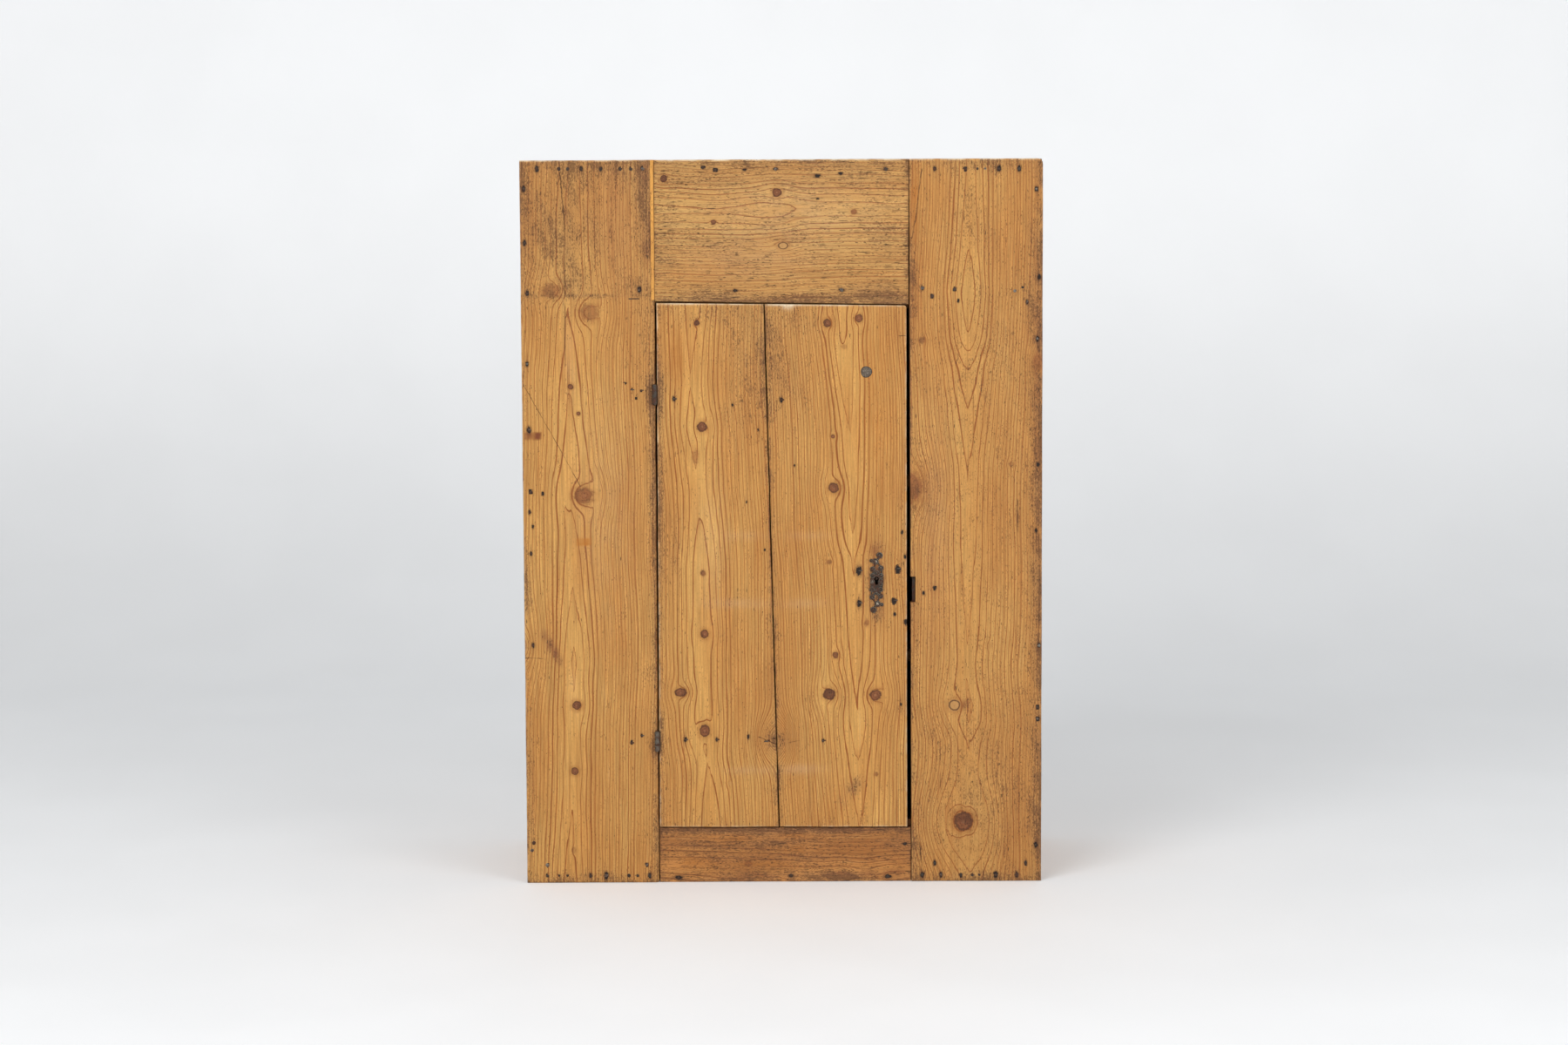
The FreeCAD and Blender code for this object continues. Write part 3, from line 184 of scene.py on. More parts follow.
# Grime and wear, and some painted shade: u, v, half width, half height, strength
GRIME_AND_SHADE = {
    "front_left_board": (
        (-320, 1200, 130, 26, 0.65), (-226, 1180, 16, 60, 0.85), (-222, 1075, 14, 46, 0.6),
        (-425, 1120, 12, 110, 0.55), (-240, 995, 34, 16, 0.5), (-345, 1000, 40, 20, 0.45),
        (-225, 905, 22, 90, 0.45), (-214, 824, 10, 34, 1.5), (-216, 240, 9, 26, 0.7),
        (-426, 476, 7, 22, 0.9), (-214, 765, 7, 60, 0.9), (-213, 640, 9, 120, 0.95),
        (-213, 420, 8, 120, 0.55), (-212, 240, 8, 45, 0.6), (-214, 90, 14, 80, 0.6),
        (-428, 500, 8, 50, 0.6), (-425, 160, 9, 110, 0.5), (-330, 6, 110, 14, 0.6),
        (-392, 1080, 34, 130, 0.4), (-352, 1090, 14, 120, 0.35), (-330, 1090, 120, 120, 0.46),
        (-330, 982, 110, 3, 0.8), (-300, 1180, 60, 30, 0.3), (-228, 1120, 16, 90, 0.35),
        (-398, 418, 6, 10, 0.7), (-389, 403, 6, 11, 0.9), (-380, 388, 6, 11, 0.9),
        (-373, 374, 5, 9, 0.6),
    ),
    "front_right_board": (
        (330, 1200, 110, 20, 0.55), (428, 640, 20, 560, 0.8), (214, 990, 12, 90, 0.55),
        (330, 620, 170, 760, 0.2), (420, 1000, 24, 80, 0.35), (310, 1110, 40, 90, 0.3),
        (350, 900, 60, 130, 0.18), (330, 160, 110, 160, 0.35), (430, 100, 20, 120, 0.55),
        (222, 60, 16, 60, 0.5), (330, 5, 110, 14, 0.6), (236, 640, 26, 40, 0.3),
        (218, 440, 10, 60, 0.25),
    ),
    "frieze_board": (
        (1085, 0, 150, 260, 0.27), (1200, 0, 12, 215, 0.65), (1175, -130, 22, 90, 0.45),
        (1180, 130, 26, 90, 0.4), (975, 0, 12, 215, 0.85), (985, 150, 20, 70, 0.75),
        (985, -120, 16, 60, 0.45), (1080, -190, 70, 30, 0.4), (1080, 175, 80, 36, 0.35),
        (1065, -110, 30, 60, 0.2),
    ),
    "bottom_rail": (
        # The first entry is painted shadow: the dark band that the door's lower edge casts on the
        # rail's top
        (88, 0, 8, 225, 1.1), (66, -60, 10, 160, 0.5), (40, 30, 6, 200, 0.35), (48, -70, 46, 170, 0.35),
        (12, 40, 12, 180, 0.45), (66, 190, 14, 26, 0.5), (8, 90, 8, 60, 0.6),
    ),
    "door_hinge_board": (
        (-120, 955, 90, 26, 0.42), (-60, 900, 40, 90, 0.42), (-203, 640, 8, 160, 0.85),
        (-203, 826, 8, 44, 1.2), (-205, 240, 8, 45, 0.8), (-30, 870, 18, 70, 0.45),
        (-60, 790, 40, 60, 0.28), (-180, 560, 16, 60, 0.35), (-10, 240, 22, 14, 0.9),
        (-205, 120, 8, 40, 0.5), (-100, 100, 90, 8, 0.25),
    ),
    "door_lock_board": (
        (-12, 880, 18, 110, 0.6), (20, 940, 60, 30, 0.4), (20, 840, 30, 60, 0.35),
        (155, 505, 24, 62, 0.35), (200, 560, 8, 100, 0.3), (110, 100, 90, 8, 0.25),
        (155.6, 504.6, 12, 46, 1.1), (0, 240, 30, 18, 0.35), (124, 170, 10, 12, 0.75),
        (112, 156, 12, 12, 0.75), (98, 140, 9, 12, 0.5), (155, 562, 12, 10, 0.2),
        (156, 447, 14, 8, 0.35),
    ),
}

# Stains: u, v, half width, half height, and how much rust, bleaching or orange; some pale lines along
# the door's top edge are partly painted highlight
STAINS = {
    "front_left_board": (
        (-413.5, 751.2, 14, 5.2, 1, 0, 0.3), (-331.7, 573.9, 12, 6, 0.1, 0, 0.9),
        (-226, 1185, 14, 36, 0.55, 0, 0), (-222, 1075, 10, 44, 0.6, 0, 0),
        (-214, 808, 8, 24, 0.6, 0, 0), (-300, 640, 60, 200, 0, 0.04, 0),
        (-351, 880, 10, 60, 0, 0.06, 0), (-351, 330, 9, 40, 0, 0.05, 0), (-398, 418, 6, 10, 0.6, 0, 0),
        (-389, 403, 6, 11, 0.8, 0, 0), (-380, 388, 6, 11, 0.8, 0, 0), (-373, 374, 5, 9, 0.6, 0, 0),
        (-340, 1105, 110, 110, 0.21, 0, 0.12), (-270, 1100, 34, 110, 0, 0.04, 0.2),
    ),
    "front_right_board": (
        (219, 1140, 9, 62, 0.12, 0, 0.65), (424, 900, 12, 300, 0.3, 0, 0.25),
        (219, 990, 8, 120, 0.25, 0, 0.35), (390, 614, 3, 24, 0.5, 0, 0),
        (255, 600, 30, 200, 0, 0.04, 0), (262, 172, 5, 22, 0.35, 0, 0), (253, 493, 6, 10, 0.45, 0, 0),
        (300.5, 299.5, 4.5, 9, 0.75, 0, 0), (330, 60, 110, 80, 0.16, 0, 0.1),
        (330, 620, 170, 800, 0.05, 0, 0.06), (424, 500, 14, 400, 0.14, 0, 0.08),
    ),
    "frieze_board": ((1120, 20, 60, 180, 0, 0.08, 0), (1040, -60, 40, 120, 0, 0.06, 0.1)),
    "bottom_rail": (
        (50, 0, 50, 215, 0.15, 0, 0.1), (72, -100, 9, 60, 0, 0, 0.5), (58, 20, 8, 30, 0, 0, 0.5),
        (34, -150, 9, 40, 0, 0, 0.4), (80, 10, 6, 26, 0, 0, 0.5), (30, -40, 8, 50, 0, 0, 0.3),
        (12, 98, 5, 20, 0.5, 0, 0), (14, 140, 5, 14, 0.5, 0, 0), (14, 185, 6, 24, 0.55, 0, 0),
        (9, -60, 7, 40, 0.3, 0, 0),
    ),
    "door_hinge_board": (
        # The first entry, pale along the top edge, is partly worn chips and partly painted highlight on
        # the lit edge
        (-120, 968.5, 88, 2.2, 0, 0.3, 0), (-175, 880, 16, 60, 0.15, 0, 0.35),
        (-62, 583, 44, 9, 0, 0.05, 0), (-70, 470, 60, 10, 0, 0.065, 0), (-50, 190, 50, 8, 0, 0.07, 0),
        (-32, 246, 30, 34, 0.14, 0, 0.12), (-30, 700, 22, 200, 0, 0, 0.2),
        (-120, 570, 26, 120, 0, 0.05, 0),
    ),
    "door_lock_board": (
        # The first three entries, pale along the top edge, are partly worn chips and partly painted
        # highlight on the lit edge
        (10, 964, 9, 6, 0, 0.8, 0), (-8, 966.5, 12, 2.2, 0, 0.5, 0), (70, 965.5, 120, 1.8, 0, 0.35, 0),
        (155.6, 504.6, 13, 52, 0.55, 0, 0), (155.6, 504.6, 19, 66, 0.28, 0, 0),
        (156, 562, 12, 12, 0.3, 0, 0.1), (30, 192, 40, 9, 0, 0.1, 0), (8, 243, 18, 30, 0.1, 0, 0.1),
        (122, 168, 10, 12, 0.16, 0, 0), (108, 152, 13, 12, 0.16, 0, 0), (40, 583, 40, 8, 0, 0.05, 0),
        (36, 470, 40, 10, 0, 0.065, 0), (150, 780, 40, 200, 0, 0, 0.22),
    ),
}

# Holes, dents and turned-over nail marks that have no nail of their own: u, v, size
MARKS = {
    "front_left_board": ((-415, 600, 1.6), (-398, 655, 2), (-260, 838, 3), (-242, 812, 2.2)),
    "front_right_board": (
        (233.6, 486.4, 1.9), (252.4, 495.1, 2.4), (291.5, 972, 1.8), (421, 590, 2), (425, 1010, 2.5),
        (424, 700, 2.2),
    ),
    "frieze_board": ((1177.3, 59.8, 2.6), (1181.4, 97.8, 2), (1140, 60, 1.4), (1188, -60, 1.8)),
    "door_hinge_board": (
        (-59.1, 246.3, 1.9), (-82, 801, 1.4), (-40, 760, 1.2), (-22.7, 238.8, 2.6), (-60, 640, 1.2),
        (-30, 560, 1.2),
    ),
    "door_lock_board": (
        (198.2, 588.5, 1.7), (185.7, 451.7, 1.9), (204, 438.4, 2.9), (126.4, 524.3, 4),
        (126.6, 469.5, 3.2), (191, 526, 4.2), (184.5, 473.5, 3.9), (196, 300, 1.4), (20, 700, 1.2),
        (203, 548, 1.8),
    ),
}

# Cracks, scratches and scribed lines: from u, v to u, v, and width
CRACKS = {
    "front_left_board": (
        (-364, 1184, -357.5, 1103.6, 1.2), (-357.5, 1103.6, -358.5, 867, 0.7),
        (-430.5, 380.5, -402, 379.5, 0.9), (-427.8, 835.7, -366, 724, 0.65),
        (-366, 724, -335.8, 667.7, 0.65),
    ),
    "front_right_board": (
        (231.1, 1186.5, 221, 1103.9, 1.1), (221, 1103.9, 213.8, 1072.5, 1.1),
        (390, 641, 390.2, 588, 0.9), (227, 66, 231.9, 8, 0.9), (262.6, 184, 262, 160, 0.8),
        (313, 970, 326, 971, 0.4),
    ),
    "frieze_board": (
        (1035, -90, 1035.5, -20, 0.5), (1084, -205, 1085.5, -175, 0.6), (1128.5, -160, 1129, -125, 0.4),
        (1071, -160, 1070.5, -120, 0.4),
    ),
    "door_hinge_board": ((-40, 246, -8.5, 232, 1), (-30, 240, -9, 246, 0.8)),
    "door_lock_board": ((8, 236, 26, 240, 0.6), (194, 914, 204, 914, 0.7)),
}

# Places on the front are x, z; the plug's radius comes third, and the planes are y
SCROLL_MIDDLE = (155.6, 504.6)
KEYHOLE = (155.5, 510.3)
KEYHOLE_RADIUS, KEYHOLE_SLOT, KEYHOLE_FOOT = 4.2, 5.6, 500.8
DOOR_FACE = -198.5
FRONT_PLANE = -196.0
WOOD_PLUG = (139.4, 854.8, 9.6)
HINGE_AXIS = -210.9
# Two corners of what is cut out of the front for the amber slip and for the bolt's keeper
SLIP_SEAT = ((-216, -200, 974), (-205, -170, 1210))
KEEPER_SEAT = ((205, FRONT_PLANE - 4, 470.9), (220.5, FRONT_PLANE + 24, 514.2))


def hexa(code):
    """A colour written as rrggbb, as the linear numbers that shaders take."""
    parts = [int(code[i:i + 2], 16) / 255 for i in (0, 2, 4)]
    return tuple(c / 12.92 if c < 0.04045 else ((c + 0.055) / 1.055) ** 2.4 for c in parts)


def colour(name, code, description):
    return bpy.props.FloatVectorProperty(
        name=name, description=description, default=hexa(code), subtype="COLOR", min=0, max=1
    )


def number(name, description, default, low, high=None, **more):
    if high is not None:
        more["max"] = high
    return bpy.props.FloatProperty(name=name, description=description, default=default, min=low, **more)


class WoodSettings(bpy.types.PropertyGroup):
    light: colour("Light wood", "cf9e57", "Soft early part of each ring")
    warm: colour("Warm wood", "c48c48", "Wood where the wax has darkened it")
    line: colour("Ring line", "8d5020", "Hard late part of each ring")
    knot: colour("Knot", "7c472a", "Heart of a sound knot")
    grime: colour("Grime", "3a2617", "Dirt in the open grain and along the edges")
    grime_share: number("Grime", "How dirty the old boards are", 1.0, 0, 2)
    arris: number("Worn edge", "Usual radius of a worn front edge, in mm", 1.6, 0.2, 4)
    front_grid: number("Front grid", "Mesh spacing on the front boards, in mm", 4.0, 2, 20)
    inner_grid: number("Inner grid", "Mesh spacing on all other boards, in mm", 8.0, 3, 40)


class IronSettings(bpy.types.PropertyGroup):
    iron: colour("Iron", "30271f", "Forged iron with an old dark skin")
    rust: colour("Rust", "4c2c1a", "Rust in the hollows of the iron")
    worn: colour("Worn iron", "8f877a", "Edges rubbed bright")
    nail_size: number(
        "Nail head", "Size of the forged heads beside the drawn ones", 0.92, 0.5, 1.1, subtype="FACTOR"
    )


class StageSettings(bpy.types.PropertyGroup):
    floor: colour("Floor", "f3f5f7", "Plain pale floor")
    key_watts: number("Key light", "Large soft light, upper left", 95.0, 0, unit="POWER")
    fill_watts: number("Fill light", "Large soft light, right", 60.0, 0, unit="POWER")
    world: number("Room light", "Light from all round", 0.42, 0, 3)
    lift: number("Backdrop lift", "How much paler the camera sees the floor", 0.13, 0, 0.5)


# ---------------------------------------------------------------------------
# Shader wiring
# ---------------------------------------------------------------------------
class Number:
    """A number in a shader. Sums and products of it become Math nodes."""

    def __init__(self, wire, socket):
        self.wire, self.socket = wire, socket

    def __add__(self, other):
        return self.wire.math("ADD", self, other)

    def __sub__(self, other):
        return self.wire.math("SUBTRACT", self, other)

    def __rsub__(self, other):
        return self.wire.math("SUBTRACT", other, self)

    def __mul__(self, other):
        return self.wire.math("MULTIPLY", self, other)

    def __truediv__(self, other):
        return self.wire.math("DIVIDE", self, other)

    def __abs__(self):
        return self.wire.math("ABSOLUTE", self)


class Wiring:
    """Short names for the nodes of one tree."""

    def __init__(self, tree):
        self.tree = tree

    def add(self, kind, inputs=(), **settings):
        node = self.tree.nodes.new("ShaderNode" + kind)
        for name, value in settings.items():
            setattr(node, name, value)
        for key, value in dict(inputs).items():
            self.feed(node.inputs[key], value)
        return node

    def feed(self, socket, value):
        if isinstance(value, Number):
            value = value.socket
        if isinstance(value, bpy.types.NodeSocket):
            self.tree.links.new(value, socket)
        elif socket.type == "RGBA" and len(value) == 3:
            socket.default_value = (*value, 1)
        else:
            socket.default_value = value

    def math(self, operation, a, b=0.0, clamp=False):
        node = self.add("Math", {0: a, 1: b}, operation=operation, use_clamp=clamp)
        return Number(self, node.outputs[0])

    def greater(self, *values):
        """The greatest of some numbers."""
        most = values[0]
        for value in values[1:]:
            most = self.math("MAXIMUM", most, value)
        return most

    def length(self, a, b):
        return self.math("SQRT", a * a + b * b)

    def stretch(self, vector, scale):
        return self.add("VectorMath", {0: vector, 1: scale}, operation="MULTIPLY").outputs[0]

    def noise(self, vector, scale, detail=2.0, roughness=0.5):
        inputs = {"Vector": vector, "Scale": scale, "Detail": detail, "Roughness": roughness}
        return Number(self, self.add("TexNoise", inputs).outputs["Fac"])

    def span(self, value, low, high, start=0.0, end=1.0, kind="SMOOTHSTEP"):
        """value from low to high becomes start to end, eased at both ends."""
        inputs = {"Value": value, "From Min": low, "From Max": high, "To Min": start, "To Max": end}
        node = self.add("MapRange", inputs, interpolation_type=kind, clamp=True)
        return Number(self, node.outputs[0])

    def ramp(self, value, low, high, start=0.0, end=1.0):
        """value from low to high becomes start to end, in a straight line."""
        return self.span(value, low, high, start, end, "LINEAR")

    def blend(self, share, a, b, kind="MIX"):
        node = self.add("Mix", data_type="RGBA", blend_type=kind, clamp_factor=True)
        for name, value in (("Factor", share), ("A", a), ("B", b)):
            sort = "VALUE" if name == "Factor" else "RGBA"
            self.feed(next(s for s in node.inputs if s.name == name and s.type == sort), value)
        return next(s for s in node.outputs if s.type == "RGBA")

    def split(self, vector):
        outputs = self.add("SeparateXYZ", {0: vector}).outputs
        return [Number(self, output) for output in outputs]

    def lasting(self, name):
        """A vector that the mesh carries on its points."""
        return self.add("Attribute", attribute_name=name).outputs["Vector"]

    def lasting_number(self, name):
        return Number(self, self.add("Attribute", attribute_name=name).outputs["Fac"])

    def dice(self, value):
        """A random number that stays the same for each value."""
        return Number(self, self.add("TexWhiteNoise", {"W": value}, noise_dimensions="1D").outputs[0])

    def object_place(self):
        return self.add("TexCoord").outputs["Object"]

    def bump(self, height, strength, distance):
        inputs = {"Height": height, "Strength": strength, "Distance": distance}
        return self.add("Bump", inputs).outputs[0]


def new_material(name):
    """A material with its wiring and its main shader."""
    material = bpy.data.materials.new(name)
    material.use_nodes = True
    return material, Wiring(material.node_tree), material.node_tree.nodes["Principled BSDF"].inputs


class PineGrain(Wiring):
    """Old waxed pine. It reads where each point lies in its board from the mesh."""

    def __init__(self, tree, entry):
        super().__init__(tree)
        self.entry = entry
        self.place = self.lasting("wood")
        self.fibre = self.grain(0.035, 1500)
        self.streak = self.grain(0.025, 330, 3, 0.6)
        self.blotch = self.grain(0.5, 60, 3, 0.6)
        self.grit = self.grain(0.5, 420, 3, 0.7)
        self.contrast = Number(self, entry["Contrast"])
        self.bare_wood()
        self.stains()
        self.grime()
        self.knots()
        self.nail_holes()
        self.cracks()

    def grain(self, along, scale, detail=2.0, roughness=0.5):
        """Noise drawn out along the grain."""
        return self.noise(self.stretch(self.place, (1, along, 1)), scale, detail, roughness)

    def paint(self, share, tint):
        """Lays a colour over the wood, by its code or from a socket."""
        self.wood = self.blend(share, self.wood, hexa(tint) if isinstance(tint, str) else tint)

    def ring_lines(self, count, slope, offset, thick, strength):
        """Late wood: a line at each whole number, thick mm wide, of uneven width and strength."""
        ring = self.math("FLOOR", count) + offset
        inward = (1.0 - self.math("FRACT", count)) / slope
        reach = (self.dice(ring + 41.3) * 0.8 + 0.6) * thick
        reach = self.math("MINIMUM", reach, self.math("DIVIDE", 0.55, slope))
        line = self.span(inward, reach, reach * 0.5)
        return line * ((self.dice(ring) * 0.42 + 0.58) * strength)

    def flecks(self, scale, long, share, radius, least):
        """Small dark flecks along the grain: more of them where share is high."""
        along = self.add("CombineXYZ", {0: 1.0, 1: long, 2: 1.0}).outputs[0]
        cells = self.add(
            "TexVoronoi", {"Vector": self.stretch(self.place, along), "Scale": scale},
            voronoi_dimensions="3D",
        ).outputs
        parts = self.add("SeparateColor", {0: cells["Color"]}).outputs
        luck, size, depth = (Number(self, part) for part in parts)
        chosen = self.math("GREATER_THAN", self.span(share, 0.05, 1.15, 0.010, 0.75), luck)
        edge = size * (radius - least) + least - Number(self, cells["Distance"])
        return chosen * (depth * 0.55 + 0.45) * self.span(edge, 0.0, 0.09)

    def bare_wood(self):
        """Rings: a soft rise to the dark late wood, then a harder edge."""
        ring, slope, figure = self.split(self.lasting("ring"))
        slope = self.greater(slope, 0.006)
        off, gain, _ = self.split(self.lasting("heart"))
        wobble = (self.grain(0.06, 120) - 0.5) * 0.4
        count = ring + self.math("TANH", abs(off)) * gain + wobble
        late = self.ring_lines(count, slope, 0.0, self.span(figure, 0.86, 1.3, 1.5, 3.2), figure)
        steep = self.span(slope, 0.03, 0.14)
        for times, offset, thick, share in ((1.83, 17.3, 1.3, 0.5), (3.1, 5.7, 0.8, 0.3)):
            fine = self.ring_lines(count * times, slope * times, offset, thick, steep * share)
            late = self.greater(late, fine)
        uneven = self.span(self.streak, 0.32, 0.56, 0.55, 1.2)
        self.late = self.math("MULTIPLY", late, uneven, clamp=True)

        line = self.entry["Line"]
        cloud, band = self.grain(0.35, 13, 3), self.grain(0.05, 70)
        hair = self.grain(0.012, 620, 2, 0.6)
        share = self.span(cloud, 0.34, 0.66, 0.12, 0.88)
        self.wood = self.blend(share, self.entry["Light"], self.entry["Warm"])
        self.paint(self.span(band, 0.62, 0.34, 0, 0.32), "b9803f")
        self.paint(self.span(hair, 0.40, 0.28, 0, 0.35), "e0b473")
        self.paint(self.span(hair, 0.56, 0.68, 0, 0.5), line)
        self.paint(self.span(self.math("FRACT", count), 0.74, 1.0) * 0.42, "ad6c34")
        self.paint(self.late * self.contrast, line)
        shade = self.ramp(self.fibre, 0.25, 0.75, 0.88, 1.12)
        shade = shade + self.ramp(self.streak, 0.25, 0.75, -0.25, 0.25) * self.contrast
        shade = shade + self.ramp(self.grit, 0.2, 0.8, 0.10, -0.10)
        grey = self.add("CombineColor", {0: shade, 1: shade, 2: shade}).outputs[0]
        self.wood = self.blend(1.0, self.wood, grey, "MULTIPLY")

    def stains(self):
        """Bleached places, orange wax and rust; the pale share also holds painted highlight along lit
        edges.
        """
        rust, pale, amber = self.split(self.lasting("stain"))
        ragged = self.span(self.blotch, 0.3, 0.62, 0.55, 1.2)
        for share, tint in ((pale, "e6d6b8"), (amber, "b87228"), (rust, "7a4020")):
            self.paint(share * ragged, tint)

    def grime(self):
        """A thin brown veil, then short black dashes and specks in the open grain."""
        entry = self.entry
        # These grime numbers also carry painted shade, such as the door's shadow on the rail
        dirt_and_shade = self.lasting_number("grime") * entry["Grime share"]
        mixed = self.grit * 0.5 + self.streak * 0.5
        mixed = mixed + self.ramp(self.blotch, 0.3, 0.7, -0.05, 0.05) + dirt_and_shade * 0.13
        self.veil = self.span(mixed, 0.59, 0.70)
        self.paint(dirt_and_shade * 0.24, "8a6547")
        self.paint(self.veil * 0.66, "5f3f2b")
        drift = (dirt_and_shade + self.span(self.blotch, 0.35, 0.7, -0.10, 0.22)) * entry["Dashes"]
        long = Number(self, entry["Fleck length"])
        self.pit = self.greater(
            self.flecks(330, long, drift, 0.30, 0.10),
            self.flecks(560, long * 3.0, drift, 0.44, 0.18), self.flecks(760, long, drift, 0.46, 0.18),
        )
        self.paint(self.pit * 0.88, entry["Grime"])
        self.paint(self.span(self.grit, 0.36, 0.24) * self.span(dirt_and_shade, 0.3, 1.0, 0, 0.5), "d9b487")

    def knots(self):
        """Above nought the tone is a dark knot, below it a pale eye with a rim."""
        kx, ky, tone = self.split(self.lasting("knot"))
        dark, eye, any_tone = self.greater(tone, 0.0), self.greater(tone * -1.0, 0.0), abs(tone)
        rough = (self.noise(self.place, 130, 4, 0.65) - 0.5) * 1.1
        rough = rough * self.span(any_tone, 0.4, 0.8, 2.1, 1.0)
        rough = rough * self.span(eye, 0.2, 0.8, 1.0, 0.35)
        away = self.length(kx, ky)
        away = away + rough * self.span(away, 0.0, 1.0, 0.3, 0.8)
        soft = self.span(dark, 0.45, 1.0, 0.55, 0.0)
        inside = self.span(away - soft, 1.02, 0.78) * self.span(away, 1.5, 0.75)
        self.rim = self.span(away, 1.16, 0.98) * self.span(away, 0.70, 0.92)
        self.paint(self.span(away, 2.3, 0.9) * 0.42 * any_tone, self.entry["Line"])
        year = self.math("SINE", away * 13.0)
        heart = self.entry["Knot"]
        for share, tint in (
            (self.span(year, -0.7, 1.0, 0, 0.35), "94603a"),
            (self.span(away, 0.45, 0.05, 0, 0.6), "9c6a48"),
            (self.span(dark, 0.75, 0.45, 0, 0.75), "93542c"),
            (self.span(self.blotch, 0.40, 0.62, 0, 0.75), "4f2c1b"),
            (self.span(self.grit, 0.5, 0.7, 0, 0.6), "301a12"),
        ):
            heart = self.blend(share, heart, hexa(tint))
        self.paint(inside * self.span(dark, 0, 0.8, 0, 0.95), heart)
        self.paint(inside * (eye * 0.6), "c3965c")
        self.paint(self.rim * self.span(any_tone, 0.5, 0.9, 0, 0.85), "4d2a1a")
        check = inside * self.span(self.noise(self.place, 420, 1), 0.62, 0.70)
        self.paint(check * dark, self.entry["Grime"])

    def nail_holes(self):
        """Nail holes and dents, with the dark stain that iron leaves along the grain."""
        mx, my, size = self.split(self.lasting("mark"))
        near = self.math("SQRT", mx * mx + my * my * 0.36) / self.greater(size, 0.5)
        near = near + (self.grit - 0.5) * 2.4
        real = self.span(size, 0.3, 0.9)
        self.hole = self.span(near, 1.2, 0.95) * real
        halo = self.span(near, 2.2, 1.0) * (real * 0.6)
        smear = self.span(abs(mx), 3.4, 0.5) * self.span(abs(my), 24.0, 2.0, 0, 0.5)
        smear = smear * (real * self.span(self.streak, 0.45, 0.6))
        self.paint(self.greater(halo, smear), "543420")
        self.paint(self.hole, "23170f")

    def cracks(self):
        """Cracks and scratches wander a little, and their ends fade."""
        across, beyond, width = self.split(self.lasting("crack"))
        gap = abs(across + (self.noise(self.place, 90, 2) - 0.5) * 3.0)
        split = self.span(gap, 1.0, 0.55) * self.span(beyond, 3.0, 0.0)
        split = split * self.ramp(width, 0.0, 1.0) * self.span(self.blotch, 0.34, 0.56, 0.25, 1.0)
        self.paint(split * 0.9, "43230f")
        self.split_wood = split

    def sheen(self):
        rough = self.streak * 0.22 + 0.42 + self.veil * 0.22
        return self.math("SUBTRACT", rough, self.late * 0.08, clamp=True)

    def relief(self):
        height = self.late * 0.2
        for share, part in (
            (0.10, self.fibre), (0.25, self.streak), (-0.6, self.pit), (-0.9, self.split_wood),
            (-0.8, self.hole), (-0.25, self.rim),
        ):
            height = height + part * share
        return height


def pine_group():
    """The grain as one node group, which all finishes of pine share."""
    group = bpy.data.node_groups.new("old_pine_grain", "ShaderNodeTree")
    for way, kind, names in (
        ("INPUT", "Color", ("Light", "Warm", "Line", "Knot", "Grime")),
        ("INPUT", "Float", ("Grime share", "Contrast", "Fleck length", "Dashes")),
        ("OUTPUT", "Color", ("Color",)), ("OUTPUT", "Float", ("Roughness", "Height")),
    ):
        for name in names:
            group.interface.new_socket(name, in_out=way, socket_type="NodeSocket" + kind)
    grain = PineGrain(group, group.nodes.new("NodeGroupInput").outputs)
    leave = group.nodes.new("NodeGroupOutput").inputs
    made = (("Color", grain.wood), ("Roughness", grain.sheen()), ("Height", grain.relief()))
    for name, value in made:
        grain.feed(leave[name], value)
    return group


def pine(name, light, warm, line, share=1.0, contrast=0.8, length=0.2, dashes=1.0):
    """One finish of pine, from the shared grain."""
    if name in bpy.data.materials:
        return bpy.data.materials[name]
    wood = bpy.context.scene.cabinet_wood
    group = bpy.data.node_groups.get("old_pine_grain") or pine_group()
    material, wire, inputs = new_material(name)
    grain = wire.add("Group", {}, node_tree=group)
    for socket, value in (
        ("Light", light), ("Warm", warm), ("Line", line), ("Knot", tuple(wood.knot)),
        ("Grime", tuple(wood.grime)), ("Grime share", share), ("Contrast", contrast),
        ("Fleck length", length), ("Dashes", dashes),
    ):
        wire.feed(grain.inputs[socket], value)
    wire.feed(inputs["Base Color"], grain.outputs["Color"])
    wire.feed(inputs["Roughness"], grain.outputs["Roughness"])
    wire.feed(inputs["Normal"], wire.bump(grain.outputs["Height"], 0.55, 0.0009))
    inputs["Specular IOR Level"].default_value = 0.28
    return material


def old_pine(tint="front"):
    """The finishes of the cabinet's boards, from the wood settings."""
    wood = bpy.context.scene.cabinet_wood
    light, warm, line = Vector(wood.light), Vector(wood.warm), Vector(wood.line)

    def mixed(base, code, share):
        return base.lerp(Vector(hexa(code)), share)

    if tint == "front":
        return pine("waxed_pine", light, warm, line, wood.grime_share, 1.0)
    if tint == "frieze":
        yellow = mixed(light, "c99e5d", 0.75)
        deep = warm.lerp(yellow, 0.4)
        return pine("frieze_pine", yellow, deep, line, wood.grime_share, 0.9, 0.085, 1.9)
    if tint == "rail":
        red, deep = mixed(light, "d3904f", 0.8), mixed(warm, "a0632f", 0.8)
        dark = mixed(line, "5e3016", 0.8)
        return pine("rail_pine", red, deep, dark, wood.grime_share * 1.3, 0.8, 0.11, 2.4)
    if tint == "slip":
        amber = Vector(hexa("dd9f4c"))
        return pine("slip_pine", amber, amber.lerp(warm, 0.3), line.lerp(amber, 0.4), 0.3, 0.5)
    dull, brown = mixed(light, "b58c5e", 0.7), mixed(warm, "97703f", 0.6)
    return pine("inner_pine", dull, brown, line, wood.grime_share * 0.8, 0.9)


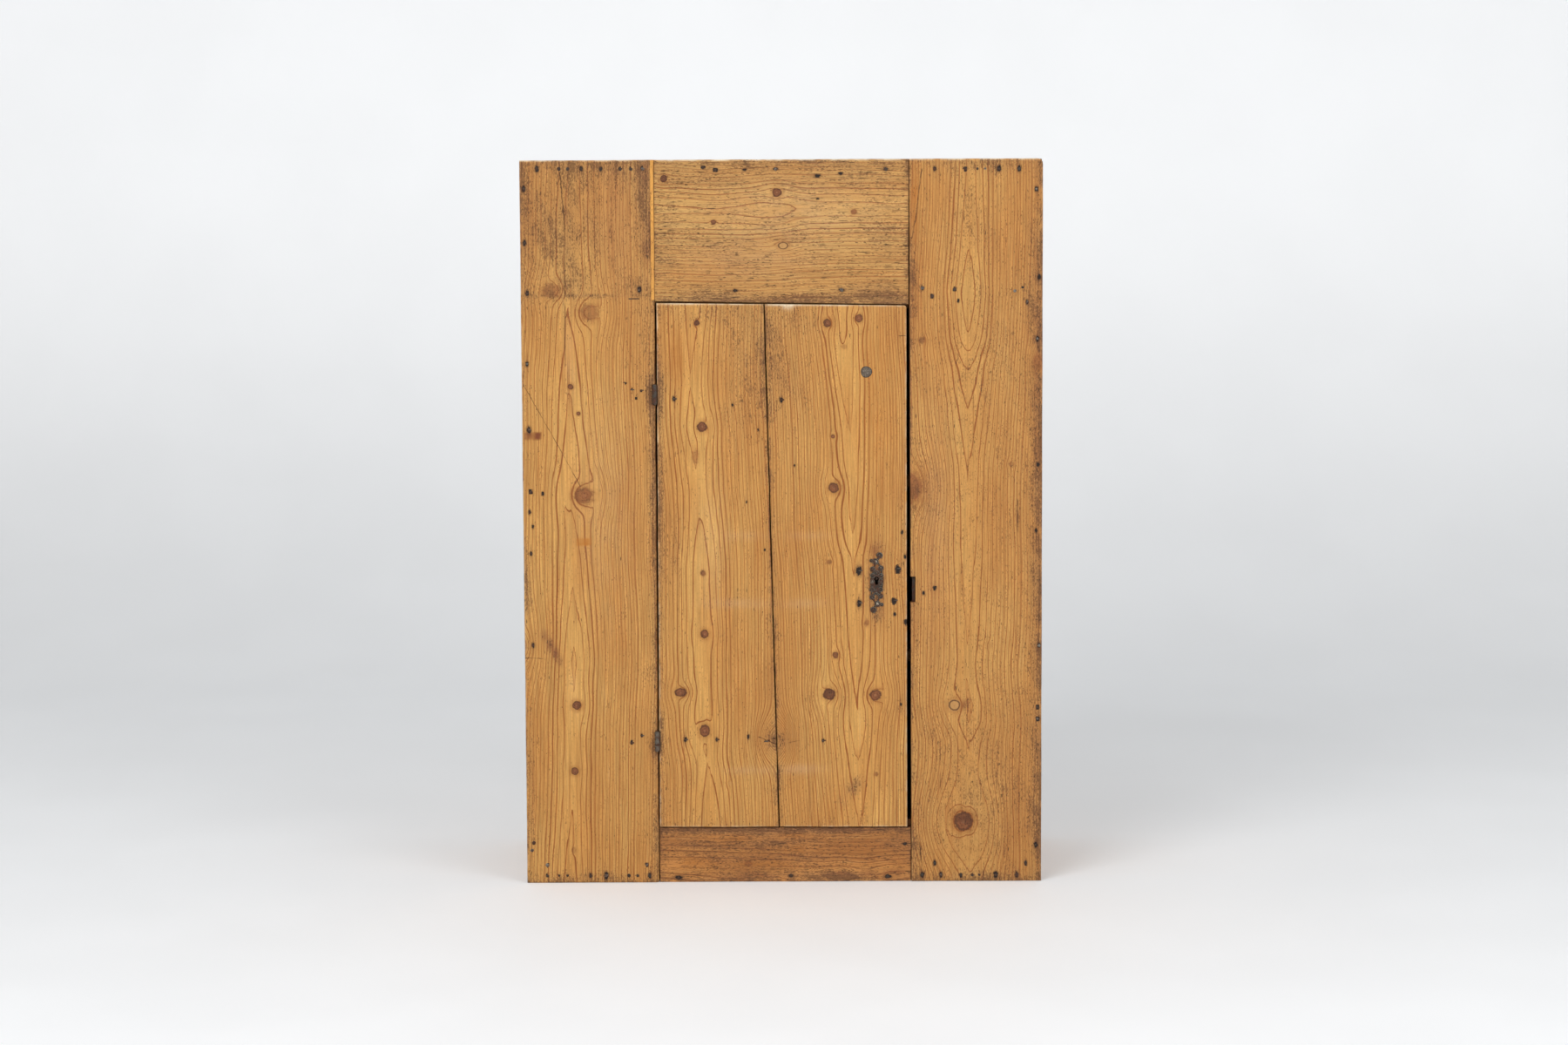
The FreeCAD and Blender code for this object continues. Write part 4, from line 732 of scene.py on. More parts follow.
def iron(name, brightness, roughness, shine, rubbed_and_lit=0.3):
    """Forged iron: dark skin, rust in the hollows, edges worn bright, which also serves as a painted
    highlight on them.
    """
    if name in bpy.data.materials:
        return bpy.data.materials[name]
    settings = bpy.context.scene.cabinet_iron
    material, wire, inputs = new_material(name)
    place = wire.object_place()
    scale, fine = wire.noise(place, 180, 4, 0.65), wire.noise(place, 900, 3, 0.6)
    ridge = wire.add("NewGeometry").outputs["Pointiness"]
    base = Vector(settings.iron).lerp(Vector(settings.worn), brightness)
    base = wire.blend(wire.lasting_number("tone"), base, settings.worn)
    skin = wire.blend(wire.span(scale, 0.42, 0.62), base, settings.rust)
    skin = wire.blend(wire.span(fine, 0.5, 0.75, 0, 0.5), skin, hexa("17130f"))
    bright = wire.span(ridge, 0.52, 0.6) * wire.span(scale, 0.6, 0.4, 0, rubbed_and_lit)
    wire.feed(inputs["Base Color"], wire.blend(bright, skin, settings.worn))
    wire.feed(inputs["Roughness"], scale * 0.35 + (roughness - 0.17) - bright * 0.2)
    wire.feed(inputs["Metallic"], wire.span(scale, 0.62, 0.4, 0.2 * shine, shine))
    wire.feed(inputs["Normal"], wire.bump(scale * 0.7 + fine * 0.3, 0.6, 0.0006))
    inputs["Specular IOR Level"].default_value = 0.35
    return material


def grey_end_grain():
    """End grain gone grey, with dark checks, for the plug."""
    material, wire, inputs = new_material("grey_end_grain")
    place = wire.object_place()
    coarse, fine = wire.noise(place, 320, 4, 0.7), wire.noise(place, 1200, 2, 0.6)
    lines = wire.noise(wire.stretch(place, (1, 1, 0.16)), 700, 2, 0.6)
    skin = wire.blend(wire.span(coarse, 0.35, 0.65), hexa("7d7263"), hexa("5a4a3a"))
    for share, tint in (
        (wire.span(fine, 0.52, 0.66), "2c231b"), (wire.span(lines, 0.54, 0.64, 0, 0.8), "3a2c20"),
        (wire.lasting_number("tone"), "1f150e"),
    ):
        skin = wire.blend(share, skin, hexa(tint))
    wire.feed(inputs["Base Color"], skin)
    wire.feed(inputs["Roughness"], wire.span(coarse, 0.2, 0.8, 0.55, 0.8))
    wire.feed(inputs["Normal"], wire.bump(fine, 0.7, 0.0008))
    return material


# ---------------------------------------------------------------------------
# Boards
# ---------------------------------------------------------------------------
class Waves:
    """A smooth random line: a few sines with seeded phases."""

    def __init__(self, seed, lengths, heights):
        pick = np.random.default_rng(seed)
        self.parts = [
            (height, length, pick.uniform(0, 2 * math.pi), pick.uniform(0.7, 1.3))
            for length, height in zip(lengths, heights)
        ]

    def __call__(self, x, slant=0.0):
        return sum(
            height * np.sin(2 * math.pi * (x + slant) / (length * stretch) + phase)
            for height, length, phase, stretch in self.parts
        )


def eased(points, x, smooth=9.0):
    """A line through points, softened over a few millimetres."""
    table = np.array(sorted(points), float)
    run = np.arange(table[0, 0] - 60, table[-1, 0] + 60, 1.0)
    line = np.interp(run, table[:, 0], table[:, 1])
    reach = np.arange(-3 * smooth, 3 * smooth + 1)
    weights = np.exp(-(reach / smooth) ** 2)
    line = np.pad(line, len(reach) // 2, mode="edge")
    line = np.convolve(line, weights / weights.sum(), mode="valid")
    return np.interp(x, run, line)


def bell(u, v, wide, high):
    """One in the middle, falling off over so far across and along."""
    return np.exp(-(v / high) ** 2 - (u / wide) ** 2)


# u, v and w of a board as directions in the room, by the way it lies
WAYS = {
    "upright": ((1, 0, 0), (0, 0, 1), (0, 1, 0)),
    "level": ((0, 0, 1), (1, 0, 0), (0, 1, 0)),
    "left side": ((0, 1, 0), (0, 0, 1), (1, 0, 0)),
    "right side": ((0, 1, 0), (0, 0, 1), (-1, 0, 0)),
    "lying": ((0, 1, 0), (1, 0, 0), (0, 0, -1)),
    "upright back": ((1, 0, 0), (0, 0, 1), (0, -1, 0)),
    "level back": ((0, 0, 1), (1, 0, 0), (0, -1, 0)),
    "cleat left": ((0, 0, 1), (0, 1, 0), (-1, 0, 0)),
    "cleat right": ((0, 0, 1), (0, 1, 0), (1, 0, 0)),
}


class Board:
    """One board: its outline, how it was sawn, and what has happened to it since.

    corners, cuts and rounded, the radius of its upper right corner, give its shape; spacing is
    the mm between year rings; nails are marks besides those in the tables; worn, edge_grime
    and the last argument go left, right, foot, head. The last one paints a pale line along an edge:
    partly worn wood, partly painted highlight where the rounded arris catches the light. A board
    without a grid isn't seen in the photograph.
    """

    def __init__(self, node, body, way, tint="inner", corners=None, grid=None, seed=1, spacing=4.6,
                 nails=(), arris=None, rounded=None, cuts=(), edge_grime=(0.9, 0.9, 0.7, 0.7),
                 worn=(1, 1, 1, 1), bare=(0, 0, 0, 0)):
        self.node, self.body, self.tint, self.seed = node, body, tint, seed
        self.spacing, self.rounded, self.cuts = spacing, rounded, cuts
        self.edge_grime, self.worn, self.bare, self.shown = edge_grime, worn, bare, grid is not None
        self.knots, self.grime, self.stains, self.cracks = (
            table.get(node, ()) for table in (KNOTS, GRIME_AND_SHADE, STAINS, CRACKS)
        )
        self.marks = MARKS.get(node, ()) + nails
        axes = [np.array(axis, float) for axis in WAYS[way]]
        self.u_way, self.v_way, self.w_way = axes
        box = [np.array(corner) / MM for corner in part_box(node)]
        (u0, u1), (v0, v1), (self.w0, w1) = (sorted(corner @ axis for corner in box) for axis in axes)
        self.thick = w1 - self.w0
        self.corners = corners or ((u0, v0), (u1, v0), (u1, v1), (u0, v1))
        settings = bpy.context.scene.cabinet_wood
        self.grid = grid or settings.inner_grid
        self.arris = arris or settings.arris * 0.75
        pick = np.random.default_rng(seed)
        middle, reach = (u0 + u1) / 2, (u1 - u0) / 2
        self.heart = HEARTS.get(node) or tuple(
            (v, middle + pick.uniform(-0.6, 0.6) * reach) for v in (v0, v1)
        )
        self.figure = FIGURES.get(node) or [
            (v, LOG_DEPTH / spacing + pick.uniform(-1.3, 1.3)) for v in np.linspace(v0, v1, 7)
        ]
        if not self.shown:
            self.knots = tuple(
                (pick.uniform(u0 + 12, u1 - 12), pick.uniform(v0 + 20, v1 - 20),
                 size, size * pick.uniform(0.9, 1.3), pick.uniform(0.5, 1.0), 1.6, 0.8)
                for size in pick.uniform(3.5, 10, max(1, int((v1 - v0) / 210)))
            )
            self.age(pick, np.array([u0, v0]), np.array([u1, v1]))

    def age(self, pick, low, high):
        """Gives a board that the photograph doesn't show a tone of its own and dirty places."""
        middle, reach = (low + high) / 2, (high - low) / 2
        rust, pale, amber = (pick.uniform(0, most) for most in (0.16, 0.10, 0.24))
        self.stains = ((*middle, *(reach * 4), rust, pale, amber),)
        self.grime = tuple(
            (*(middle + reach * pick.uniform(-1, 1, 2)), reach[0] * pick.uniform(0.3, 0.9),
             reach[1] * pick.uniform(0.08, 0.4), pick.uniform(0.25, 0.6))
            for _ in range(6)
        )

    def lines(self, length):
        """Grid lines along one side: close together at the worn edges."""
        near = np.array(RIM_LINES)
        near = near[near < length / 3]
        steps = max(2, int((length - 2 * near[-1]) / self.grid) + 1)
        inner = np.linspace(near[-1], length - near[-1], steps)
        return np.concatenate([near[:-1], inner, (length - near[:-1])[::-1]]) / length

    def shape(self):
        """The board's grid: u, v and w of the points of its face."""
        (a, b, c, d) = (np.array(corner, float) for corner in self.corners)
        across = self.lines(max(b[0] - a[0], c[0] - d[0]))[None, :, None]
        along = self.lines(max(d[1] - a[1], c[1] - b[1]))[:, None, None]
        flat = (1 - along) * ((1 - across) * a + across * b) + along * ((1 - across) * d + across * c)
        u, v = flat[..., 0], flat[..., 1]
        width = np.linalg.norm((1 - along) * (b - a) + along * (c - d), axis=-1)
        height = np.linalg.norm((1 - across) * (d - a) + across * (c - b), axis=-1)
        across, along = across[..., 0], along[..., 0]
        sides = (
            (across * width, v, 1), ((1 - across) * width, v, -1),
            (along * height, u, 1), ((1 - along) * height, u, -1),
        )
        wear = Waves(self.seed + 7, (31, 67, 140, 420), (0.10, 0.16, 0.2, 0.22))
        drop = np.zeros_like(u)
        for side, (away, run, inward) in enumerate(sides):
            radius = self.arris * self.worn[side] * (1 + wear(run, side * 333.0))
            inset = np.clip(radius - away, 0, None)
            drop = np.maximum(drop, 0) + radius - np.sqrt(np.clip(radius ** 2 - inset ** 2, 0, None))
            shift = EDGE_WANDER * (0.5 + 0.5 * np.sin(run / 37.0 + side * 2 + self.seed))
            shift = inward * shift * np.exp(-away / 7.0)
            if side < 2:
                u = u + shift
            else:
                v = v + shift
        sway = Waves(self.seed + 3, (190, 330, 520), (0.05, 0.06, 0.07))
        inland = np.minimum.reduce([away for away, *_ in sides])
        w = drop + (0.18 + sway(v, 0.7 * u)) * np.clip(inland / 12.0, 0, 1)
        return (*self.round_corner(u, v), w)

    def round_corner(self, u, v):
        """Draws the points near the upper right corner in to a quarter circle."""
        if not self.rounded:
            return u, v
        cu, cv = (side - self.rounded for side in self.corners[2])
        pu, pv = u - cu, v - cv
        inside = (pu > 0) & (pv > 0)
        share = np.where(inside, np.maximum(pu, pv) / np.maximum(np.hypot(pu, pv), 1e-6), 1.0)
        return np.where(inside, cu + pu * share, u), np.where(inside, cv + pv * share, v)

    def build(self):
        """Makes the board, with where each point lies in the wood written on its mesh."""
        u, v, w = self.shape()
        count = u.size
        index = np.arange(count).reshape(u.shape)
        rim = np.concatenate([index[0, :-1], index[:-1, -1], index[-1, :0:-1], index[:0:-1, 0]])
        u, v, w = u.ravel(), v.ravel(), w.ravel()
        us, vs = np.concatenate([u, u, u[rim]]), np.concatenate([v, v, v[rim]])
        ws = np.concatenate([w, np.full(count, self.thick), w[rim] + min(LIP, self.thick * 0.3)])
        ways = zip((us, vs, self.w0 + ws), (self.u_way, self.v_way, self.w_way))
        points = sum(run[:, None] * axis for run, axis in ways)
        face = [index[:-1, :-1], index[:-1, 1:], index[1:, 1:], index[1:, :-1]]
        face = np.stack(face, -1).reshape(-1, 4)
        line = 2 * count + np.arange(len(rim))
        after, beyond = np.roll(rim, -1), np.roll(line, -1)
        faces = np.concatenate([
            face, face[:, ::-1] + count, np.stack([rim, line, beyond, after], -1),
            np.stack([line, rim + count, after + count, beyond], -1),
        ])
        mesh = bpy.data.meshes.new(self.node + "_board")
        mesh.from_pydata(points * MM, [], faces.tolist())
        work = bmesh.new()
        work.from_mesh(mesh)
        outward(work, mesh)
        board = link(self.node + "_wood", mesh)
        if self.cuts:
            carve(board, self.cuts)
        self.write(board.data)
        finish(board, old_pine(self.tint), 32)
        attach(board, self.body)
        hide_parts(self.node)
        "new_pine" if self.tint == "slip" else "old_pine"

    def write(self, mesh):
        """Lays the ring number, knots, grime and marks on every point of the mesh."""
        spots = np.zeros(len(mesh.vertices) * 3)
        mesh.vertices.foreach_get("co", spots)
        spots = spots.reshape(-1, 3) / MM
        u, v, w = spots @ self.u_way, spots @ self.v_way, spots @ self.w_way - self.w0
        for name, values in (
            ("wood", np.stack([u, v, w], -1) * MM + np.array([1.7, 2.3, 0.9]) * self.seed),
            ("ring", self.grain(u, v, w)), ("heart", self.spear(u, v)),
            ("knot", nearest(u, v, self.knots, KNOT_REACH, lambda knot: knot[2:5])),
            ("mark", self.nearest_mark(u, v, w)), ("crack", self.nearest_crack(u, v, w)),
            # grime also holds painted shade, and the pale share of stain holds painted highlight along
            # lit edges
            ("grime", self.dirt_and_shade(u, v)), ("stain", self.stain(u, v, w)),
        ):
            lay(mesh, name, values)

    def grain(self, u, v, w):
        """Ring number, rings to the mm, and how strongly the rings show."""
        step = 0.4
        here = self.rings(u, v, w)
        across = (self.rings(u + step, v, w) - here) / step
        along = (self.rings(u, v + step, w) - here) / step
        off = (u - eased(self.heart, v, HEART_EASE)) / FIGURE_REACH
        return np.stack([here, np.hypot(across, along), 0.86 + 0.44 * np.exp(-off ** 2)], -1)

    def spear(self, u, v):
        """Sharpens the figure: each point's place from the middle line, and rings to add."""
        off = (u - eased(self.heart, v, HEART_EASE)) / SPEAR_REACH
        return np.stack([off, np.full(off.shape, SPEAR_RISE / self.spacing), 0 * off], -1)

    def rings(self, u, v, w):
        """How many year rings lie between a point and the tree's heart."""
        drift = Waves(self.seed, (260, 430, 900), (0.6, 1.1, 2.0))
        ripple = Waves(self.seed + 1, (45, 80, 130), (0.10, 0.18, 0.3))
        heart = eased(self.heart, v, HEART_EASE)
        bent = u
        for ku, kv, wide, high, _, bend, _ in self.knots:
            pull = bell(u - ku, v - kv, wide * 1.5 * bend, high * 1.9 * bend)
            bent = bent - (bent - ku) * pull * 0.85
        off = bent - heart + drift(v, u * 0.15) * np.tanh(np.abs(u - heart) / 40.0) + ripple(v, u * 2.1)
        deep = (eased(self.figure, v, 7) + FLATTER) * self.spacing
        count = np.sqrt(off ** 2 + (deep + w * 0.7) ** 2) / self.spacing - FLATTER
        for ku, kv, wide, high, _, _, closed in self.knots:
            count = count + closed * bell(u - ku, v - kv, wide * 1.4, high * 1.6)
        return count

    def nearest_mark(self, u, v, w):
        """Where each point of the face lies from its nearest nail or hole, in mm."""
        found = nearest(u, v, self.marks, MARK_REACH, lambda mark: (1.0, 1.0, mark[2]))
        found[w > self.thick * FACE_SHARE] = (FAR, FAR, 0.0)
        return found

    def nearest_crack(self, u, v, w):
        """How far each point of the face lies to the side of a crack and past its end."""
        best = np.full(u.shape, 60.0)
        found = np.tile([40.0, 40.0, 0.0], (len(u), 1))
        for u0, v0, u1, v1, width in self.cracks:
            long = math.hypot(u1 - u0, v1 - v0)
            along = ((u - u0) * (u1 - u0) + (v - v0) * (v1 - v0)) / long
            across = ((u - u0) * (v1 - v0) - (v - v0) * (u1 - u0)) / long
            beyond = np.maximum(np.maximum(-along, along - long), 0)
            away = np.hypot(across, beyond)
            closer = (away < best) & (w < self.thick * FACE_SHARE)
            best = np.where(closer, away, best)
            shown = np.where(away < CRACK_REACH, min(1.0, width + 0.25), 0.0)
            found[closer] = np.stack([across / width, beyond, shown], -1)[closer]
        return found

    def from_edges(self, u, v):
        """Distances from the left, right, lower and upper edges, each with its run."""
        a, b, c, d = self.corners
        climb = np.clip((v - a[1]) / max(d[1] - a[1], 1), 0, 1)
        reach = np.clip((u - a[0]) / max(b[0] - a[0], 1), 0, 1)
        left, right = a[0] + (d[0] - a[0]) * climb, b[0] + (c[0] - b[0]) * climb
        foot, head = a[1] + (b[1] - a[1]) * reach, d[1] + (c[1] - d[1]) * reach
        return (u - left, v), (right - u, v), (v - foot, u), (head - v, u)

    def dirt_and_shade(self, u, v):
        """Grime gathers along the edges, at the ends and in the places listed, some of which are
        painted shade; it is cleared along edges painted pale.
        """
        edge = Waves(self.seed + 11, (22, 51, 120), (0.25, 0.3, 0.35))
        total = 0.10 + 0.05 * edge(v, u)
        sides = self.from_edges(u, v)
        for (away, run), share in zip(sides, self.edge_grime):
            total = total + share * np.exp(-np.abs(away) / 5.0) * (1 + edge(run, 50))
        for gu, gv, wide, high, share in self.grime:
            away = ((u - gu) / wide) ** 2 + ((v - gv) / high) ** 2
            total = total + share * np.exp(-away * 1.2) * (1 + 0.5 * edge(v, u * 1.7))
        # Grime is cleared along the edges painted pale, which are partly worn and partly painted
        # highlight
        for (away, run), share in zip(sides, self.bare):
            total = total - 1.6 * share * np.exp(-(away / 2.4) ** 2) * (1 + 0.5 * edge(run, 90))
        return np.clip(total, 0, 1.4)

    def stain(self, u, v, w):
        """Shares of rust, pale and amber: the places listed, and arrises worn pale, which is partly
        painted highlight where the arris catches the light.
        """
        total = np.zeros((len(u), 3))
        face = w < self.thick * FACE_SHARE if self.shown else np.ones(w.shape, bool)
        for su, sv, wide, high, *shares in self.stains:
            x, y = np.abs(u - su) / wide, np.abs(v - sv) / high
            spread = np.exp(-(x ** 2 + y ** 2) * 1.3)
            if max(shares) > HARD_STAIN:
                spread = np.exp(-np.maximum(x, y) ** 12.0)
            total += (spread * face)[:, None] * np.array(shares)
        edge = Waves(self.seed + 12, (17, 43, 97), (0.3, 0.35, 0.35))
        # Painted highlight: a pale line along the chosen edges, partly worn wood and partly the lit
        # arris
        for (away, run), share in zip(self.from_edges(u, v), self.bare):
            rubbed_and_lit = np.exp(-(away / 1.9) ** 2) * np.clip(0.8 + edge(run), 0.15, 1.3)
            total[:, 1] += share * rubbed_and_lit * np.exp(-(w / 3.4) ** 2)
        return np.clip(total, 0, 1)


def nearest(u, v, spots, most, measure):
    """Each point's place from its nearest spot, scaled, and that spot's own number.

    Neighbouring spots leave a strip between them where the number is nought.
    """
    found = np.tile([FAR, FAR, 0.0], (len(u), 1))
    if not spots:
        return found
    places = np.array([spot[:2] for spot in spots], float)
    apart = np.hypot(*(places[:, None] - places[None]).transpose(2, 0, 1))
    apart[apart < 0.01] = 1e3
    grounds = np.minimum((apart.min(1, initial=1e3) - NEIGHBOUR_STRIP) / 2, most)
    best = np.full(u.shape, 1e6)
    for (ku, kv), ground, spot in zip(places, grounds, spots):
        wide, high, size = measure(spot)
        away = np.hypot(u - ku, v - kv)
        closer = away < best
        best = np.where(closer, away, best)
        own = away < ground
        x, y = (u - ku) / wide, (v - kv) / high
        row = np.stack([np.where(own, x, x * 5), np.where(own, y, y * 5), own * size], -1)
        found[closer] = row[closer]
    return found


def lay(mesh, name, values):
    """Writes numbers on the points of a mesh, for its material to read."""
    kind, field = ("FLOAT_VECTOR", "vector") if values.ndim == 2 else ("FLOAT", "value")
    layer = mesh.attributes.new(name, kind, "POINT")
    layer.data.foreach_set(field, np.ascontiguousarray(values, np.float32).ravel())


# ---------------------------------------------------------------------------
# Pieces and cutters
# ---------------------------------------------------------------------------
def link(name, data):
    """A new object in the scene."""
    piece = bpy.data.objects.new(name, data)
    bpy.context.scene.collection.objects.link(piece)
    return piece


def outward(work, mesh):
    """Turns all faces outwards and hands the shape over to a mesh."""
    bmesh.ops.recalc_face_normals(work, faces=work.faces)
    work.to_mesh(mesh)
    work.free()


def settle(work, name):
    """Makes an object of a finished shape."""
    mesh = bpy.data.meshes.new(name)
    outward(work, mesh)
    return link(name, mesh)


def finish(piece, material, angle=35):
    """Gives a piece its material and smooth shading with sharp edges kept."""
    piece.data.materials.clear()
    piece.data.materials.append(material)
    piece.data.shade_smooth()
    piece.data.set_sharp_from_angle(angle=math.radians(angle))


def baked(piece):
    """The mesh of a piece with its modifiers carried out."""
    bpy.context.view_layer.update()
    ready = piece.evaluated_get(bpy.context.evaluated_depsgraph_get())
    return bpy.data.meshes.new_from_object(ready)


def carve(piece, shapes):
    """Cuts closed shapes out of a piece."""
    tools = [settle(shape, "cutter") for shape in shapes]
    for tool in tools:
        change = piece.modifiers.new("cut", "BOOLEAN")
        change.operation, change.solver, change.object = "DIFFERENCE", "MANIFOLD", tool
    meshes = [piece.data] + [tool.data for tool in tools]
    piece.data = baked(piece)
    piece.modifiers.clear()
    for tool in tools:
        bpy.data.objects.remove(tool)
    for mesh in meshes:
        bpy.data.meshes.remove(mesh)


def block(low, high):
    """A box between two corners, in millimetres."""
    shape = bmesh.new()
    middle, size = (Vector(low) + Vector(high)) / 2 * MM, (Vector(high) - Vector(low)) * MM
    place = Matrix.Translation(middle) @ Matrix.Diagonal((*size, 1))
    bmesh.ops.create_cube(shape, size=1, matrix=place)
    return shape


def rod(radius, start, end):
    """A round bar between two points, in millimetres."""
    shape = bmesh.new()
    start, end = Vector(start), Vector(end)
    run = end - start
    turn = run.to_track_quat("Z", "Y").to_matrix().to_4x4()
    bmesh.ops.create_cone(
        shape, cap_ends=True, segments=28, radius1=radius * MM, radius2=radius * MM,
        depth=run.length * MM, matrix=Matrix.Translation((start + end) / 2 * MM) @ turn,
    )
    return shape


def hinge_cuts(left, right, out, deep):
    """Mortises for both hinges, so far to each side of the axis, before and behind the front."""
    cuts = []
    for hinge in ("upper", "lower"):
        low, high = (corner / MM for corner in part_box(f"{hinge}_hinge_case_leaf"))
        cuts.append(block(
            (HINGE_AXIS - left, FRONT_PLANE - out, low.z - 0.4),
            (HINGE_AXIS + right, FRONT_PLANE + deep, high.z + 0.4),
        ))
        y = FRONT_PLANE - 3.5
        cuts.append(rod(5.2, (HINGE_AXIS, y, low.z - 2.2), (HINGE_AXIS, y, high.z + 2.2)))
    return cuts


def lock_cuts():
    """The keyhole, the bed of the lock and the seat of its plate."""
    x, z = KEYHOLE
    near, hole_end, back, half = DOOR_FACE - 3, FRONT_PLANE + 8.6, FRONT_PLANE + 21.5, KEYHOLE_SLOT / 2
    low, high = (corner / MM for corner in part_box("lock_plate"))
    cap_low, cap_high = (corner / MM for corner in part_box("lock_cap"))
    edge, far = high.x + 2, back + 2
    return [
        rod(KEYHOLE_RADIUS, (x, near, z), (x, hole_end, z)),
        block((x - half, near, KEYHOLE_FOOT), (x + half, hole_end, z)),
        block((cap_low.x - 0.3, FRONT_PLANE + 8.2, cap_low.z - 0.3), (edge, far, cap_high.z + 0.3)),
        block((low.x - 0.1, back - 1.5, low.z), (edge, far, high.z)),
        block((high.x - 1.5, FRONT_PLANE + 9, low.z), (edge, far, high.z)),
    ]


def nail_spots(node, least=0.0):
    """The nails of a CAD node of a least length: head centre, inward direction, head radius."""
    work = bmesh.new()
    work.from_mesh(NODES[node].data)
    bmesh.ops.remove_doubles(work, verts=work.verts, dist=1e-6)
    unseen = set(work.verts)
    spots = []
    while unseen:
        stack, part = [unseen.pop()], []
        while stack:
            vert = stack.pop()
            part.append(vert.co.copy())
            found = {edge.other_vert(vert) for edge in vert.link_edges} & unseen
            unseen -= found
            stack.extend(found)
        points = np.array(part) / MM
        low, high = points.min(0), points.max(0)
        axis = int(np.argmax(high - low))
        middle = (low + high) / 2
        sideways = [i for i in range(3) if i != axis]
        out = np.abs(points - middle)[:, sideways].max(1)
        place = points[out > out.max() - 0.05].mean(0)
        inward = np.zeros(3)
        inward[axis] = 1.0 if place[axis] < middle[axis] else -1.0
        place[sideways] = middle[sideways]
        place[axis] = low[axis] if inward[axis] > 0 else high[axis]
        if high[axis] - low[axis] >= least:
            spots.append((place, inward, out.max()))
    work.free()
    return sorted(spots, key=lambda spot: tuple(spot[0].round(2)))


def head_marks(node, way, size=3.2, least=0.0):
    """The nails of a node as marks on a board that lies this way."""
    u_way, v_way = (np.array(axis, float) for axis in WAYS[way][:2])
    pick = np.random.default_rng(len(node))
    return tuple(
        (place @ u_way, place @ v_way, size * pick.uniform(0.6, 1.0))
        for place, *_ in nail_spots(node, least)
    )


def turns(sides):
    """The angles of points round a circle."""
    return [step / sides * 2 * math.pi for step in range(sides)]


def skin(work, loops, top, tip=None):
    """Faces over rings of points: a fan at the top, and one to the tip or a flat end."""
    top = work.verts.new(top)
    if tip:
        tip = work.verts.new(tip)
    else:
        work.faces.new(loops[-1])
    for step in range(len(loops[0])):
        after = (step + 1) % len(loops[0])
        work.faces.new((top, loops[0][step], loops[0][after]))
        if tip:
            work.faces.new((tip, loops[-1][after], loops[-1][step]))
        for near, far in zip(loops, loops[1:]):
            work.faces.new((near[step], far[step], far[after], near[after]))


def dress(node, material, bevel=0.25):
    """Keeps a CAD node, with a new material and softened edges."""
    piece = NODES[node]
    piece.data.materials.clear()
    piece.data.materials.append(material)
    soft = piece.modifiers.new("softened", "BEVEL")
    soft.width, soft.segments = bevel * MM, 2
    soft.limit_method, soft.angle_limit = "ANGLE", math.radians(50)
    soft.harden_normals = False


# ---------------------------------------------------------------------------
# Operators
# ---------------------------------------------------------------------------
class CABINET_OT_front(bpy.types.Operator):
    """Build the fixed boards of the front"""
    bl_idname = "cabinet.front"
    bl_label = "Front boards"

    def execute(self, context):
        wood = context.scene.cabinet_wood
        common = dict(body="case", grid=wood.front_grid, arris=wood.arris)
        # The last argument of each board paints pale edges, mostly at the top: worn wood and painted
        # highlight on the lit arris
        Board(
            "front_left_board", way="upright", tint="front", seed=11, spacing=4.7,
            corners=((-431, 0), (-209.5, 0), (-209.7, 1205), (-431, 1205)),
            nails=head_marks("hinge_case_nails", "upright", 2.6)
            + head_marks("front_left_nails", "upright"),
            cuts=hinge_cuts(2.6, 4.0, 3, 24) + [block(*SLIP_SEAT)],
            worn=(1, 2.6, 1, 1.3), edge_grime=(0.55, 0.8, 0.7, 0.6), bare=(0.25, 0, 0, 0.9), **common,
        ).build()
        Board(
            "front_right_board", way="upright", tint="front", seed=23, spacing=4.4,
            corners=((213.6, 0), (431, 0), (431, 1205), (210.4, 1205)), rounded=9.0,
            nails=head_marks("front_right_nails", "upright"), cuts=[block(*KEEPER_SEAT)],
            edge_grime=(0.6, 0.75, 0.7, 0.55), bare=(0.1, 0.2, 0, 0.9), **common,
        ).build()
        Board(
            "frieze_board", way="level", tint="frieze", seed=37, spacing=5.0,
            corners=((972.7, -209.9), (1205, -209.9), (1205, 209.5), (965.9, 209.5)),
            nails=head_marks("frieze_nails", "level"),
            edge_grime=(0.8, 0.6, 0.6, 0.9), bare=(0.1, 0.95, 0, 0), **common,
        ).build()
        Board(
            "bottom_rail", way="level", tint="rail", seed=41, spacing=4.6,
            corners=((0, -208.9), (93.0, -208.9), (91.6, 212.8), (0, 212.8)),
            nails=head_marks("rail_nails", "level"), edge_grime=(0.7, 0.9, 0.6, 0.6), **common,
        ).build()
        common["arris"] = 0.5
        Board(
            "frieze_slip", way="upright", tint="slip", seed=43, spacing=2.0,
            edge_grime=(0.9, 0.2, 0.3, 0.3), **common,
        ).build()
        return {"FINISHED"}


